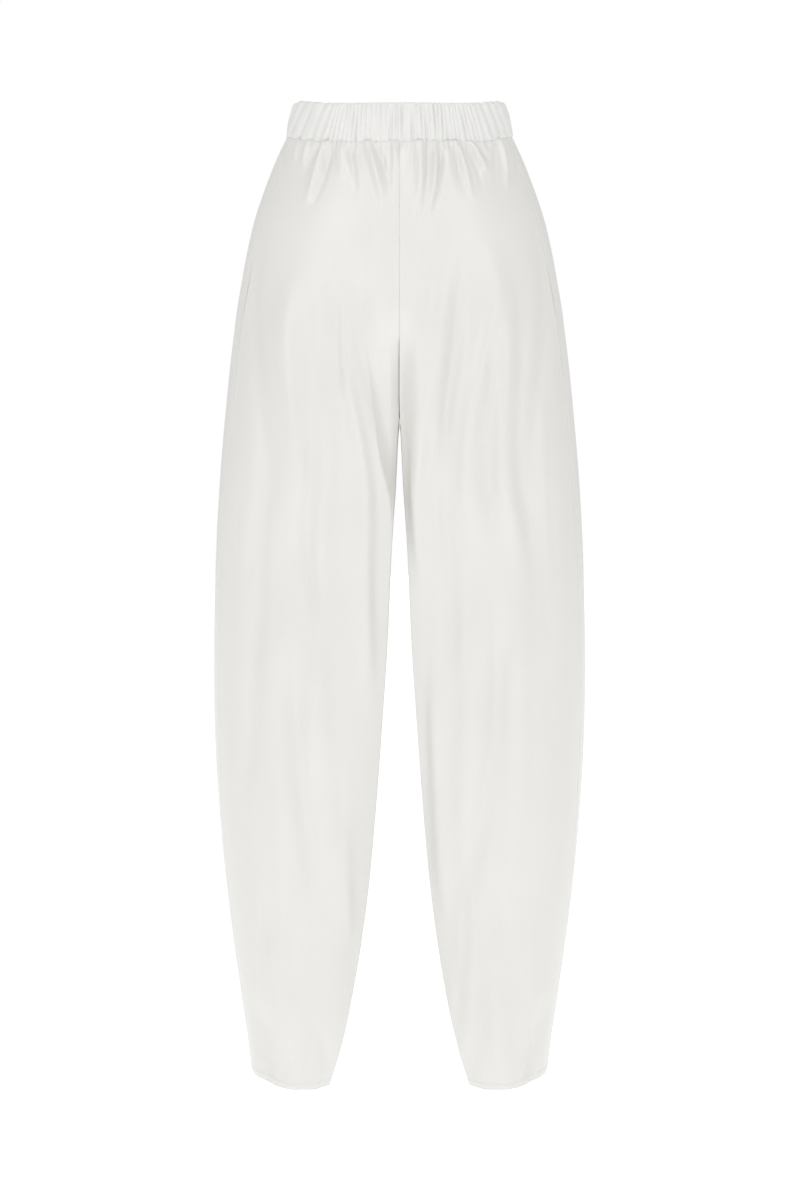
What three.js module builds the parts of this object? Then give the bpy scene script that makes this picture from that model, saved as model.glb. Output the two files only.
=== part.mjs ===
// A pull-on shalwar in white satin: four panels with barrel legs, gathered into an elasticated
// waistband, with a pocket in each side seam, filled out as when it is worn.
// Millimetres, +Z up. The front faces -Y and the wearer's left is +X.
// The origin is the centre of the waistband, halfway up it, where the wearer's waist holds it.
import * as THREE from "three";

// Driving dimensions
const CLOTH = 1.2; // wall of a panel
const SEAM_GAP = 0.3; // between pieces that are sewn together
const BAND_TOP = 20;
const WAIST_SEAM = -20; // where the panels hang from the band
const SPLIT_TOP = -195; // where the centre seams start to curve under
const SEAM_BEND = 12; // how square the curve is, where 2 is an ellipse
const SEAM_STEPS = 400; // steps in which the curve's length is measured
const HALVED_TO = 1e-6; // how finely a share of the half round is searched for
const OUTER_BEND = 0.86; // how square a leg's section is on its outer half, where 1 is an ellipse
const INNER_FALL = [0.14, 0.45]; // how much flatter a leg is at its inner edge, at the crotch and the hem
const INNER_TURN = [0.004, 0.05]; // the share of its width in which that edge turns back to the inseam
const INNER_REACH = 0.45; // the share of a leg's width over which it flattens
const CROTCH = -311;
const HEM_INNER = -1012; // the hem at the inseam
const HEM_OUTER = -1002; // the hem at the side, square to the leg's own line
const CROTCH_ROW_OUTER = -300; // how low the row through the crotch is at the side
const LEG_BLEND_TOP = -120; // hips turn into two round legs from here
const LEG_BLEND_LOW = -400; // to here
const MIDDLE_BLEND_TOP = -215; // and next to the centre seam later, where the cloth spans the legs
const MIDDLE_BLEND_LOW = -440;
const MIDDLE_SHARE = 0.08; // next to the seam is this share of the way round to the widest point
const MIDDLE_FADE = 0.34; // and the change to the rest takes this share
const FRONT_DIP = 16; // how much lower the waist is at the front
const DIP_DEPTH = 88; // the waist's depth in front, over which it dips
const DIP_LOW = -160; // where the dip has died out

// How a fold starts and ends, as shares of its length, and where the cloth is kept flat
const GATHER_START = 0.15; // a gather grows to its full height over this
const GATHER_END = 0.7; // and dies out over this
const GATHER_AT_SEAM = 0.6; // its height at the waist seam
const DRAPE_FADE = 0.3; // a drape fades in and out over this
const FLAT_AT_SIDE = 0.12; // share of the half round next to the widest point
const FLAT_AT_INSEAM = 0.08; // and next to the inseam
const INSEAM_FADE = 25; // how far above the crotch the flat strip starts

const FRONT_COLUMNS = 24;
const BACK_COLUMNS = 27;
const HIP_ROWS = [0, 0.03, 0.065, 0.105, 0.15, 0.2, 0.26, 0.33, 0.41, 0.5, 0.59, 0.68, 0.77, 0.86, 0.94, 1];
const LEG_ROWS = 12;
const ROW_TURN = 0.6;

// The cloth's outer face, level by level. out and inner are the leg's edges in the front view, belly
// and seat the hips' depths before and behind mid, shin and calf the leg's, and side is where the side
// seam lies, as a share of the way from the centre to the widest point.
const SECTIONS = [
  { z: -20, out: 119, inner: 0, belly: 88, seat: 92, shin: 88, calf: 92, mid: 0, side: 0.76 },
  { z: -60, out: 136, inner: 0, belly: 100, seat: 108, shin: 98, calf: 104, mid: 1, side: 0.77 },
  { z: -110, out: 153, inner: 0, belly: 109, seat: 124, shin: 106, calf: 116, mid: 2, side: 0.78 },
  { z: -170, out: 165.5, inner: 0, belly: 114, seat: 135, shin: 111, calf: 125, mid: 3, side: 0.79 },
  { z: -240, out: 175.5, inner: 0, belly: 115, seat: 137, shin: 113, calf: 127, mid: 4, side: 0.815 },
  { z: -311, out: 182.8, inner: 0.4, belly: 113, seat: 130, shin: 112, calf: 122, mid: 5, side: 0.835 },
  { z: -380, out: 188.5, inner: 3.7, belly: 110, seat: 122, shin: 110, calf: 116, mid: 6, side: 0.85 },
  { z: -460, out: 192.7, inner: 8.8, belly: 108, seat: 115, shin: 108, calf: 111, mid: 7, side: 0.86 },
  { z: -560, out: 194.9, inner: 13.2, belly: 106, seat: 108, shin: 106, calf: 107, mid: 8, side: 0.865 },
  { z: -650, out: 193.8, inner: 19.2, belly: 102, seat: 103, shin: 102, calf: 103, mid: 9, side: 0.87 },
  { z: -740, out: 188.2, inner: 26, belly: 97, seat: 97, shin: 97, calf: 97, mid: 10, side: 0.88 },
  { z: -820, out: 180.1, inner: 34.1, belly: 89, seat: 90, shin: 89, calf: 90, mid: 10, side: 0.89 },
  { z: -900, out: 169.2, inner: 46, belly: 79, seat: 80, shin: 79, calf: 80, mid: 10, side: 0.9 },
  { z: -960, out: 160.3, inner: 58.5, belly: 69, seat: 71, shin: 69, calf: 71, mid: 10, side: 0.91 },
  { z: -1012, out: 153.5, inner: 73.5, belly: 59, seat: 62, shin: 59, calf: 62, mid: 10, side: 0.92 },
];

// Gathers fall from the waist seam and die out at low. x runs from the top to the end, in the front
// view. half is half the width of the fold, and rise is how far it stands out, less than 0 for a trough.
const FRONT_GATHERS = [
  { x: [-105, -107, -110], low: -48, half: 5, rise: 1.8 },
  { x: [-94, -97, -100], low: -50, half: 4.5, rise: 1.8 },
  { x: [-84, -92, -99], low: -67, half: 4.5, rise: -2 },
  { x: [-76, -86, -99], low: -99, half: 5.5, rise: 3.2 },
  { x: [-68, -78, -91], low: -102, half: 5, rise: -2.6 },
  { x: [-59, -58.5, -57.5], low: -66, half: 6, rise: 1.8 },
  { x: [-51, -46, -43], low: -99, half: 4.5, rise: -2.4 },
  { x: [-33, -20.5, -14], low: -120, half: 5, rise: 3.2 },
  { x: [-26, -14, -7], low: -91, half: 4.5, rise: -2.2 },
  { x: [-5, -4, -3], low: -62, half: 4.5, rise: 1.5 },
  { x: [20.5, 21, 12], low: -144, half: 6.5, rise: 3 },
  { x: [28, 26, 20], low: -118, half: 4.5, rise: -2.4 },
  { x: [36, 34, 23], low: -140, half: 4, rise: 2.4 },
  { x: [41, 38, 19], low: -145, half: 4, rise: -2.6 },
  { x: [48, 49, 52], low: -85, half: 8, rise: 2.2 },
  { x: [55, 62.5, 67], low: -88, half: 4.5, rise: -2.2 },
  { x: [57, 67, 75], low: -92, half: 5, rise: 3 },
  { x: [69, 80, 84], low: -81, half: 4.5, rise: -2.4 },
  { x: [72, 82, 94], low: -56, half: 4.5, rise: 2.8 },
  { x: [79, 87, 96], low: -45, half: 4, rise: -2 },
  { x: [103, 109, 109], low: -81, half: 5, rise: 2.6 },
];
const BACK_GATHERS = [
  { x: [-104, -109, -112], low: -66, half: 5, rise: 2.2 },
  { x: [-93, -99, -104], low: -92, half: 5, rise: -2.2 },
  { x: [-82, -88, -93], low: -78, half: 5, rise: 2.8 },
  { x: [-70, -74, -77], low: -104, half: 5, rise: -2.4 },
  { x: [-60, -65, -72], low: -128, half: 5.5, rise: 3 },
  { x: [-48, -50, -51], low: -84, half: 5, rise: -2.2 },
  { x: [-37, -36, -31], low: -112, half: 5, rise: 2.6 },
  { x: [-25, -22, -16], low: -90, half: 4.5, rise: -2.4 },
  { x: [-13, -12, -9], low: -136, half: 5, rise: 2.4 },
  { x: [11, 14, 15], low: -98, half: 5, rise: 2.2 },
  { x: [22, 20, 14], low: -122, half: 4.5, rise: -2.6 },
  { x: [33, 35, 38], low: -80, half: 5, rise: 2.6 },
  { x: [44, 48, 50], low: -108, half: 5, rise: -2.4 },
  { x: [56, 62, 70], low: -132, half: 5.5, rise: 3.2 },
  { x: [67, 72, 75], low: -86, half: 4.5, rise: -2 },
  { x: [79, 86, 95], low: -100, half: 5, rise: 2.8 },
  { x: [91, 96, 99], low: -72, half: 4.5, rise: -2.2 },
  { x: [103, 108, 112], low: -84, half: 5, rise: 2.4 },
];

// Drapes hang between top and low, and fade out at both ends.
const FRONT_DRAPES = [
  { x: [-50, -33, -12], top: -140, low: -372, half: 13, rise: -4.5 },
  { x: [-55, -35, -32], top: -156, low: -631, half: 12, rise: 4 },
  { x: [-101, -107, -101], top: -150, low: -463, half: 14, rise: 3.5 },
  { x: [-68, -63, -59], top: -164, low: -300, half: 8, rise: -2.5 },
  { x: [-76, -75, -70], top: -221, low: -526, half: 10, rise: 2.5 },
  { x: [-92, -92, -85], top: -295, low: -510, half: 8, rise: -2.5 },
  { x: [-127, -121, -113], top: -463, low: -820, half: 16, rise: 4 },
  { x: [-115, -102, -86], top: -526, low: -825, half: 10, rise: -3 },
  { x: [-144, -150, -153], top: -484, low: -715, half: 10, rise: -2 },
  { x: [-76, -81, -73], top: -463, low: -705, half: 12, rise: 2 },
  { x: [-57, -59, -54], top: -715, low: -862, half: 10, rise: 2 },
  { x: [-134, -122, -111], top: -825, low: -990, half: 11, rise: 3 },
  { x: [-151, -138, -125], top: -905, low: -1012, half: 9, rise: -2.5 },
  { x: [72, 55, 52], top: -130, low: -380, half: 12, rise: -4 },
  { x: [53, 50, 55], top: -337, low: -589, half: 9, rise: -2.5 },
  { x: [32, 29, 26], top: -111, low: -232, half: 7, rise: -2.2 },
  { x: [42, 23, 26], top: -158, low: -505, half: 13, rise: 3 },
  { x: [92, 75, 77], top: -135, low: -463, half: 10, rise: 3.5 },
  { x: [76, 70, 58], top: -440, low: -799, half: 13, rise: 2.5 },
  { x: [92, 103, 122], top: -137, low: -490, half: 11, rise: 3.5 },
  { x: [123, 116, 102], top: -450, low: -883, half: 14, rise: 4 },
  { x: [91, 92, 92], top: -225, low: -445, half: 8, rise: -3 },
  { x: [108, 92, 72], top: -500, low: -820, half: 10, rise: -3.5 },
  { x: [114, 120, 134], top: -179, low: -505, half: 10, rise: -2 },
  { x: [99, 98, 105], top: -815, low: -1014, half: 12, rise: 3 },
  { x: [153, 140, 126], top: -905, low: -1012, half: 9, rise: -2.5 },
  { x: [34, 42, 53], top: -547, low: -851, half: 11, rise: 2.5 },
];
const BACK_DRAPES = [
  { x: [-40, -34, -18], top: -170, low: -380, half: 13, rise: -4.5 },
  { x: [-70, -58, -49], top: -210, low: -560, half: 13, rise: 4 },
  { x: [-104, -96, -92], top: -230, low: -500, half: 9, rise: -3 },
  { x: [-128, -122, -118], top: -190, low: -640, half: 14, rise: 3.5 },
  { x: [-88, -84, -90], top: -450, low: -760, half: 12, rise: 3 },
  { x: [-62, -66, -70], top: -540, low: -800, half: 10, rise: -2.5 },
  { x: [-124, -118, -108], top: -660, low: -960, half: 13, rise: 3 },
  { x: [-90, -96, -102], top: -800, low: -1010, half: 10, rise: -2.5 },
  { x: [38, 31, 16], top: -165, low: -372, half: 13, rise: -4 },
  { x: [64, 60, 52], top: -205, low: -600, half: 13, rise: 4 },
  { x: [94, 98, 90], top: -240, low: -470, half: 9, rise: -3 },
  { x: [122, 126, 120], top: -180, low: -600, half: 14, rise: 3.5 },
  { x: [92, 88, 84], top: -430, low: -790, half: 12, rise: 3 },
  { x: [66, 64, 72], top: -560, low: -840, half: 10, rise: -2.5 },
  { x: [128, 120, 112], top: -640, low: -940, half: 13, rise: 3 },
  { x: [92, 98, 104], top: -820, low: -1010, half: 10, rise: -2.5 },
];

// Waistband: a fold of cloth over elastic, whose ribs are finest at the front and back
const BAND = {
  ribs: 80,
  pointsPerRib: 4,
  bunching: 0.5, // how much closer and lower the ribs are at the centres than on average
  wall: 3.2,
  outTop: 114, // half the width of the ribs' valleys at the top
  outLow: 119.6,
  frontTop: 84,
  frontLow: 88.6,
  backTop: 88,
  backLow: 92.6,
  rise: 1.8, // a mean rib
  edge: 1.2, // how far the top edge rolls in
  turn: 6, // how far from an edge a rib has its full height
  lowShare: 0.75, // its height at the low edge
  topShare: 0.45, // and at the top edge
  uneven: 0.22, // how far a rib may lie from its even place, as a share of the pitch
};

// Side seam pockets
const POCKET = {
  top: -150,
  low: -302,
  gape: 2.2, // how far the mouth stands open
  bagTop: -138,
  bagLow: -372,
  reach: 0.34, // how far the bag reaches forward, as a share of the half round
  behind: 0.1, // and behind the seam
  narrow: 0.62, // its reach at the top, as a share of that lower down
  seamClear: 0.4, // from the panels, where the bag is sewn to the side seam
  clear: 3.6, // and away from the seam, past the troughs
  wall: 1.6, // two layers of pocketing
  columnsAhead: 8,
  columnsBehind: 2,
  rows: 10,
};

const clamp = (value) => Math.min(1, Math.max(0, value));
const mix = (a, b, share) => a + (b - a) * share;
const smooth = (value) => {
  const t = clamp(value);
  return t * t * (3 - 2 * t);
};

// One column of the sections at a level, on a smooth curve through the rows
function section(name, z) {
  const last = SECTIONS.length - 1;
  let i = 0;
  while (i < last - 1 && z < SECTIONS[i + 1].z) i += 1;
  const slope = (k) => {
    const above = SECTIONS[Math.max(0, k - 1)];
    const below = SECTIONS[Math.min(last, k + 1)];
    return (below[name] - above[name]) / (below.z - above.z);
  };
  const a = SECTIONS[i];
  const b = SECTIONS[i + 1];
  const span = b.z - a.z;
  const t = clamp((z - a.z) / span);
  const hermite = (1 + 2 * t) * (1 - t) ** 2 * a[name] + t * t * (3 - 2 * t) * b[name];
  return hermite + span * (t * (1 - t) ** 2 * slope(i) - t * t * (1 - t) * slope(i + 1));
}

// 0 where the section is one pair of hips and 1 where it is a leg of its own. Next to the centre seam
// the change comes lower down, because the cloth spans the two legs there.
const roundLegs = (z) => smooth((LEG_BLEND_TOP - z) / (LEG_BLEND_TOP - LEG_BLEND_LOW));
const spanned = (z) => smooth((MIDDLE_BLEND_TOP - z) / (MIDDLE_BLEND_TOP - MIDDLE_BLEND_LOW));
const parting = (c, z) => mix(spanned(z), roundLegs(z), smooth((c - MIDDLE_SHARE) / MIDDLE_FADE));
const downLeg = (z) => smooth((CROTCH - z) / (CROTCH - HEM_INNER));

/** How much of its depth the cloth keeps next to the centre seam and the inseam. */
function turned(g, z) {
  const down = clamp((SPLIT_TOP - z) / (SPLIT_TOP - CROTCH));
  const kept = (1 - down ** SEAM_BEND) ** (1 / SEAM_BEND);
  const width = mix(INNER_TURN[0], INNER_TURN[1], downLeg(z));
  const near = 1 - Math.min(1, g / width);
  return mix(Math.sqrt(1 - near * near), 1, kept);
}

/** A leg's depth as a share of its most, from 0 at the inner edge to 1 at the outer. */
function legShare(g, z) {
  if (g > 0.5) return (4 * Math.max(0, g * (1 - g))) ** (OUTER_BEND / 2);
  const fall = mix(INNER_FALL[0], INNER_FALL[1], downLeg(z));
  return 1 - fall * (1 - Math.min(1, g / INNER_REACH)) ** 2;
}

const innerEdge = (z) => (z >= CROTCH ? SEAM_GAP / 2 : Math.max(SEAM_GAP / 2, section("inner", z)));

// How far across the front view, from the inner edge to the outer, a share c of the half round reaches
const across = (c, z) =>
  mix(Math.sin((Math.PI * c) / 2), (1 - Math.cos(Math.PI * c)) / 2, parting(c, z));

// A point of the left half with no folds. w runs round it: 0 at the front centre or inseam, 1 at the
// widest point and 2 at the back centre or inseam.
function bare(w, z) {
  const c = w <= 1 ? w : 2 - w;
  const ahead = w <= 1;
  const s = parting(c, z);
  const g = across(c, z);
  const inner = innerEdge(z);
  const hips = Math.sqrt(Math.max(0, 1 - g * g)) * section(ahead ? "belly" : "seat", z);
  const leg = legShare(g, z) * section(ahead ? "shin" : "calf", z);
  const depth = mix(hips, leg, s) * turned(g, z);
  const x = inner + (section("out", z) - inner) * g;
  return new THREE.Vector3(x, section("mid", z) + (ahead ? -depth : depth), z);
}

// The length round the front or back half at a level, and how far round a point of the front view is
function halfRound(z, ahead) {
  const out = section("out", z);
  const width = (out - innerEdge(z)) / 2;
  const hips = (Math.PI / 2) * Math.hypot(out, section(ahead ? "belly" : "seat", z)) * Math.SQRT1_2;
  const leg = Math.PI * Math.hypot(width, section(ahead ? "shin" : "calf", z)) * Math.SQRT1_2;
  return mix(hips, leg, roundLegs(z));
}
function unrolled(x, z, ahead) {
  const inner = innerEdge(z);
  const g = clamp((Math.abs(x) - inner) / (section("out", z) - inner));
  let c = 0;
  for (let step = 0.5; step > HALVED_TO; step /= 2) if (across(c + step, z) < g) c += step;
  return Math.sign(x) * c * halfRound(z, ahead);
}

// A fold as a bowed line on the unrolled cloth, with its sizes worked out once
function laidOut(fold, ahead) {
  const top = fold.top ?? WAIST_SEAM;
  const [x0, xMid, x1] = fold.x.map((x, i) => unrolled(x, mix(top, fold.low, i / 2), ahead));
  const run = x1 - x0;
  const fall = fold.low - top;
  const length = Math.hypot(run, fall);
  const bow = (xMid - (x0 + x1) / 2) * (-fall / length);
  return { ...fold, x0, top, run, fall, length, bow, hangs: fold.top !== undefined };
}
const FOLDS = {
  front: [...FRONT_GATHERS, ...FRONT_DRAPES].map((fold) => laidOut(fold, true)),
  back: [...BACK_GATHERS, ...BACK_DRAPES].map((fold) => laidOut(fold, false)),
};

// How far the folds lift the cloth at a point
function relief(w, z, side) {
  const ahead = w <= 1;
  const x = side * (ahead ? w : 2 - w) * halfRound(z, ahead);
  let lift = 0;
  for (const fold of ahead ? FOLDS.front : FOLDS.back) {
    const along = ((x - fold.x0) * fold.run + (z - fold.top) * fold.fall) / fold.length ** 2;
    if (along > 1 || along < -0.2) continue;
    const aside = ((x - fold.x0) * -fold.fall + (z - fold.top) * fold.run) / fold.length;
    const off = (aside - fold.bow * 4 * along * (1 - along)) / fold.half;
    const start = fold.hangs
      ? smooth(along / DRAPE_FADE)
      : mix(GATHER_AT_SEAM, 1, smooth(along / GATHER_START));
    const end = smooth((1 - along) / (fold.hangs ? DRAPE_FADE : GATHER_END));
    lift += fold.rise * Math.exp(-off * off) * start * end;
  }
  const atSide = smooth(Math.abs(w - 1) / FLAT_AT_SIDE); // both tables die out at the widest point
  const c = ahead ? w : 2 - w;
  const atInseam = mix(smooth(c / FLAT_AT_INSEAM), 1, smooth((z - CROTCH) / INSEAM_FADE));
  return lift * atSide * atInseam;
}

// The unit vector out of a surface given as a function of w and z
function outward(surface, w, z, low = 0, high = 2) {
  const dw = 0.002;
  const dz = 0.4;
  const round = surface(Math.min(high, w + dw), z).sub(surface(Math.max(low, w - dw), z));
  const up = surface(w, z + dz).sub(surface(w, z - dz));
  return round.cross(up).normalize();
}
const folded = (side) => (w, z) => {
  const out = outward(bare, w, z);
  return bare(w, z).addScaledVector(out, relief(w, z, side));
};

// The waist is lower at the front than at the sides, and the cloth below it follows.
function dipped(point) {
  const forward = smooth(-point.y / DIP_DEPTH);
  const fade = smooth((point.z - DIP_LOW) / (WAIST_SEAM - DIP_LOW));
  return new THREE.Vector3(point.x, point.y, point.z - FRONT_DIP * forward * fade);
}

// The centre seam's levels at even steps of its own length, down and then under to the crotch
function seamLevels() {
  const levels = [];
  const lengths = [];
  let before;
  for (let i = 0; i <= SEAM_STEPS; i += 1) {
    const turn = ((Math.PI / 2) * i) / SEAM_STEPS;
    const z = SPLIT_TOP + (CROTCH - SPLIT_TOP) * Math.sin(turn) ** (2 / SEAM_BEND);
    const depth = section("belly", CROTCH) * Math.max(0, Math.cos(turn)) ** (2 / SEAM_BEND);
    const step = before ? Math.hypot(z - before.z, depth - before.depth) : WAIST_SEAM - SPLIT_TOP;
    lengths.push((lengths.at(-1) ?? 0) + step);
    levels.push(z);
    before = { z, depth };
  }
  return { levels, lengths };
}

// Levels of a row at the centre seam or inseam and at the side
function levels() {
  const top = WAIST_SEAM - SEAM_GAP;
  const seam = seamLevels();
  const straight = seam.lengths[0];
  const hip = HIP_ROWS.map((share) => {
    const run = share * seam.lengths.at(-1);
    const step = seam.lengths.findIndex((length) => length >= run);
    const outer = mix(top, CROTCH_ROW_OUTER, share);
    const row = { inner: top - run * (1 - SEAM_GAP / straight), outer, crotch: share === 1, hips: share < 1 };
    if (step < 1) return row;
    const [before, after] = [seam.lengths[step - 1], seam.lengths[step]];
    row.inner = mix(seam.levels[step - 1], seam.levels[step], (run - before) / (after - before));
    return row;
  });
  const leg = Array.from({ length: LEG_ROWS }, (_, i) => {
    const share = (i + 1) / LEG_ROWS;
    return { inner: mix(CROTCH, HEM_INNER, share), outer: mix(CROTCH_ROW_OUTER, HEM_OUTER, share), share };
  });
  return [...hip, ...leg];
}
const ROWS = levels();

// A row's level at a share c of the half round. In the hips it reaches the side's level at ROW_TURN.
function levelAt(row, c) {
  const hips = smooth(c / ROW_TURN);
  const leg = (1 - Math.cos(Math.PI * c)) / 2;
  return mix(row.inner, row.outer, mix(hips, leg, row.share ?? 0));
}

const pocketGape = (z) => {
  const along = clamp((POCKET.top - z) / (POCKET.top - POCKET.low));
  return POCKET.gape * Math.sin(Math.PI * Math.sqrt(along));
};

// A closed wall between an outer and an inner grid of points, with the same rows and columns
function wall(outer, inner, side) {
  const rows = outer.length;
  const columns = outer[0].length;
  const points = [...outer.flat(), ...inner.flat()];
  const at = (layer, r, c) => layer * rows * columns + r * columns + c;
  const faces = [];
  const quad = (a, b, c, d) => faces.push([a, b, c], [a, c, d]);
  for (let r = 0; r < rows - 1; r += 1)
    for (let c = 0; c < columns - 1; c += 1) {
      quad(at(0, r, c), at(0, r + 1, c), at(0, r + 1, c + 1), at(0, r, c + 1));
      quad(at(1, r, c), at(1, r, c + 1), at(1, r + 1, c + 1), at(1, r + 1, c));
    }
  for (let r = 0; r < rows - 1; r += 1) {
    quad(at(0, r, 0), at(1, r, 0), at(1, r + 1, 0), at(0, r + 1, 0));
    const e = columns - 1;
    quad(at(0, r, e), at(0, r + 1, e), at(1, r + 1, e), at(1, r, e));
  }
  for (let c = 0; c < columns - 1; c += 1) {
    quad(at(0, 0, c), at(0, 0, c + 1), at(1, 0, c + 1), at(1, 0, c));
    const e = rows - 1;
    quad(at(0, e, c), at(1, e, c), at(1, e, c + 1), at(0, e, c + 1));
  }
  return solid(points, faces, side < 0);
}

function solid(points, faces, turned) {
  const geometry = new THREE.BufferGeometry();
  const numbers = points.flatMap((p) => [p.x, p.y, p.z]);
  geometry.setAttribute("position", new THREE.Float32BufferAttribute(numbers, 3));
  geometry.setIndex(faces.flatMap(([a, b, c]) => (turned ? [a, c, b] : [a, b, c])));
  geometry.computeVertexNormals();
  return geometry;
}

// One panel of a half, between the centre and the side seam in front, or from there round to the back
function panel(side, ahead) {
  const cloth = folded(side);
  const columns = ahead ? FRONT_COLUMNS : BACK_COLUMNS;
  const outer = [];
  const inner = [];
  ROWS.forEach((row, r) => {
    const sideSeam = section("side", row.outer);
    const outerRow = [];
    const innerRow = [];
    for (let i = 0; i <= columns; i += 1) {
      let w = ahead ? (sideSeam * i) / columns : mix(sideSeam, 2, i / columns);
      const c = w <= 1 ? w : 2 - w;
      const z = levelAt(row, c);
      const pace = bare(w + (ahead ? -0.01 : 0.01) * (c > 0.5), z).distanceTo(bare(w, z)) / 0.01;
      const centre = ahead ? i === 0 : i === columns;
      const atSeam = ahead ? i === columns : i === 0;
      if (atSeam) w += ((ahead ? -1 : 1) * (SEAM_GAP / 2 + (ahead ? pocketGape(z) : 0))) / pace;
      const out = outward(cloth, w, z, ahead ? 0 : sideSeam, 2);
      if (centre && row.hips) out.x = 0;
      if (centre && !row.hips) out.y = 0;
      if (row.crotch && centre) out.set(-1, 0, -1);
      if (r === 0 || r === ROWS.length - 1) out.z = 0;
      out.normalize();
      const point = cloth(w, z);
      if (r === 0 || r === ROWS.length - 1) point.z = z;
      const inside = point.clone().addScaledVector(out, -CLOTH);
      const seamShift = centre && !row.hips ? ((ahead ? -1 : 1) * SEAM_GAP) / 2 : 0;
      [point, inside].forEach((p) => p.set(Math.max(SEAM_GAP / 2, p.x), p.y + seamShift, p.z));
      outerRow.push(placed(point, side));
      innerRow.push(placed(inside, side));
    }
    outer.push(outerRow);
    inner.push(innerRow);
  });
  return wall(outer, inner, side);
}

function placed(point, side) {
  const p = dipped(point);
  p.x *= side;
  return p;
}

// A flat bag that hangs inside the side seam and forward of it, rounded at its lower front corner
function pocketBag(side) {
  const outer = [];
  const inner = [];
  for (let r = 0; r <= POCKET.rows; r += 1) {
    const down = r / POCKET.rows;
    const z = mix(POCKET.bagTop, POCKET.bagLow, down);
    const seam = section("side", z);
    const reach = POCKET.reach * Math.sqrt(1 - 0.9 * down ** 4) * mix(POCKET.narrow, 1, smooth(down * 2));
    const outerRow = [];
    const innerRow = [];
    for (let i = -POCKET.columnsAhead; i <= POCKET.columnsBehind; i += 1) {
      const w = seam + (i < 0 ? reach / POCKET.columnsAhead : POCKET.behind / POCKET.columnsBehind) * i;
      const out = outward(bare, w, z);
      if (r === 0 || r === POCKET.rows) out.setZ(0).normalize();
      const away = CLOTH + mix(POCKET.seamClear, POCKET.clear, smooth(Math.abs(w - seam) / 0.1));
      outerRow.push(placed(bare(w, z).addScaledVector(out, -away), side));
      innerRow.push(placed(bare(w, z).addScaledVector(out, -away - POCKET.wall), side));
    }
    outer.push(outerRow);
    inner.push(innerRow);
  }
  return wall(outer, inner, side);
}

// The band's oval at a level, for an angle from the front centre
function oval(angle, z, away) {
  const up = (z - WAIST_SEAM) / (BAND_TOP - WAIST_SEAM);
  const ahead = Math.cos(angle) > 0;
  const half = mix(BAND.outLow, BAND.outTop, up) + away;
  const depth = (ahead ? mix(BAND.frontLow, BAND.frontTop, up) : mix(BAND.backLow, BAND.backTop, up)) + away;
  return dipped(new THREE.Vector3(half * Math.sin(angle), -depth * Math.cos(angle), z));
}

// The ribs are bunched at the front and back and broad at the sides, and each has its own height.
function ribAngle(position) {
  const even = (2 * Math.PI * position) / BAND.ribs;
  const uneven = (BAND.uneven * Math.sin(position * 2.39) * 2 * Math.PI) / BAND.ribs;
  return even - (BAND.bunching / 2) * Math.sin(2 * even) + uneven;
}
function ribRise(rib) {
  const own = 1 + 0.28 * Math.sin(rib * 1.7) + 0.18 * Math.sin(rib * 0.61 + 1);
  return BAND.rise * own * (1 - BAND.bunching * Math.cos((4 * Math.PI * rib) / BAND.ribs));
}

function waistband() {
  const round = BAND.ribs * BAND.pointsPerRib;
  const profile = [
    { z: WAIST_SEAM, share: BAND.lowShare, inset: 0 },
    { z: WAIST_SEAM + BAND.turn, share: 1, inset: 0 },
    { z: BAND_TOP - BAND.turn, share: 1, inset: 0 },
    { z: BAND_TOP, share: BAND.topShare, inset: BAND.edge },
  ];
  const points = [];
  const faces = [];
  for (const ring of profile)
    for (let i = 0; i < round; i += 1) {
      const rib = Math.floor(i / BAND.pointsPerRib);
      const wave = Math.sin((Math.PI * (i % BAND.pointsPerRib)) / BAND.pointsPerRib);
      const away = ring.share * ribRise(rib) * wave - ring.inset;
      points.push(oval(ribAngle(i / BAND.pointsPerRib), ring.z, away));
    }
  const plainFrom = points.length;
  for (const z of [WAIST_SEAM, BAND_TOP])
    for (let rib = 0; rib < BAND.ribs; rib += 1) points.push(oval(ribAngle(rib), z, -BAND.wall));
  const quad = (a, b, c, d) => faces.push([a, b, c], [a, c, d]);
  for (let r = 0; r < profile.length - 1; r += 1)
    for (let i = 0; i < round; i += 1) {
      const next = (i + 1) % round;
      quad(r * round + i, r * round + next, (r + 1) * round + next, (r + 1) * round + i);
    }
  for (let rib = 0; rib < BAND.ribs; rib += 1) {
    const nextRib = (rib + 1) % BAND.ribs;
    const low = [plainFrom + rib, plainFrom + nextRib];
    const high = low.map((k) => k + BAND.ribs);
    quad(low[1], low[0], high[0], high[1]);
    for (const [base, edge, flip] of [[0, low, false], [(profile.length - 1) * round, high, true]]) {
      const first = rib * BAND.pointsPerRib;
      const middle = BAND.pointsPerRib / 2;
      for (let k = 0; k < BAND.pointsPerRib; k += 1) {
        const a = base + first + k;
        const b = base + ((first + k + 1) % round);
        const near = k < middle ? edge[0] : edge[1];
        faces.push(flip ? [b, near, a] : [a, near, b]);
        if (k === middle - 1) faces.push(flip ? [b, edge[1], edge[0]] : [b, edge[0], edge[1]]);
      }
    }
  }
  return solid(points, faces, false);
}

const satin = new THREE.MeshStandardMaterial({ color: 0xe9e9e5, roughness: 0.42, metalness: 0 });
const bandCloth = new THREE.MeshStandardMaterial({ color: 0xeeeeec, roughness: 0.5, metalness: 0 });
const pocketing = new THREE.MeshStandardMaterial({ color: 0xe4e4e0, roughness: 0.75, metalness: 0 });

const shalwar = new THREE.Group();
function add(name, geometry, material) {
  const mesh = new THREE.Mesh(geometry, material);
  mesh.name = name;
  shalwar.add(mesh);
}

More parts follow.
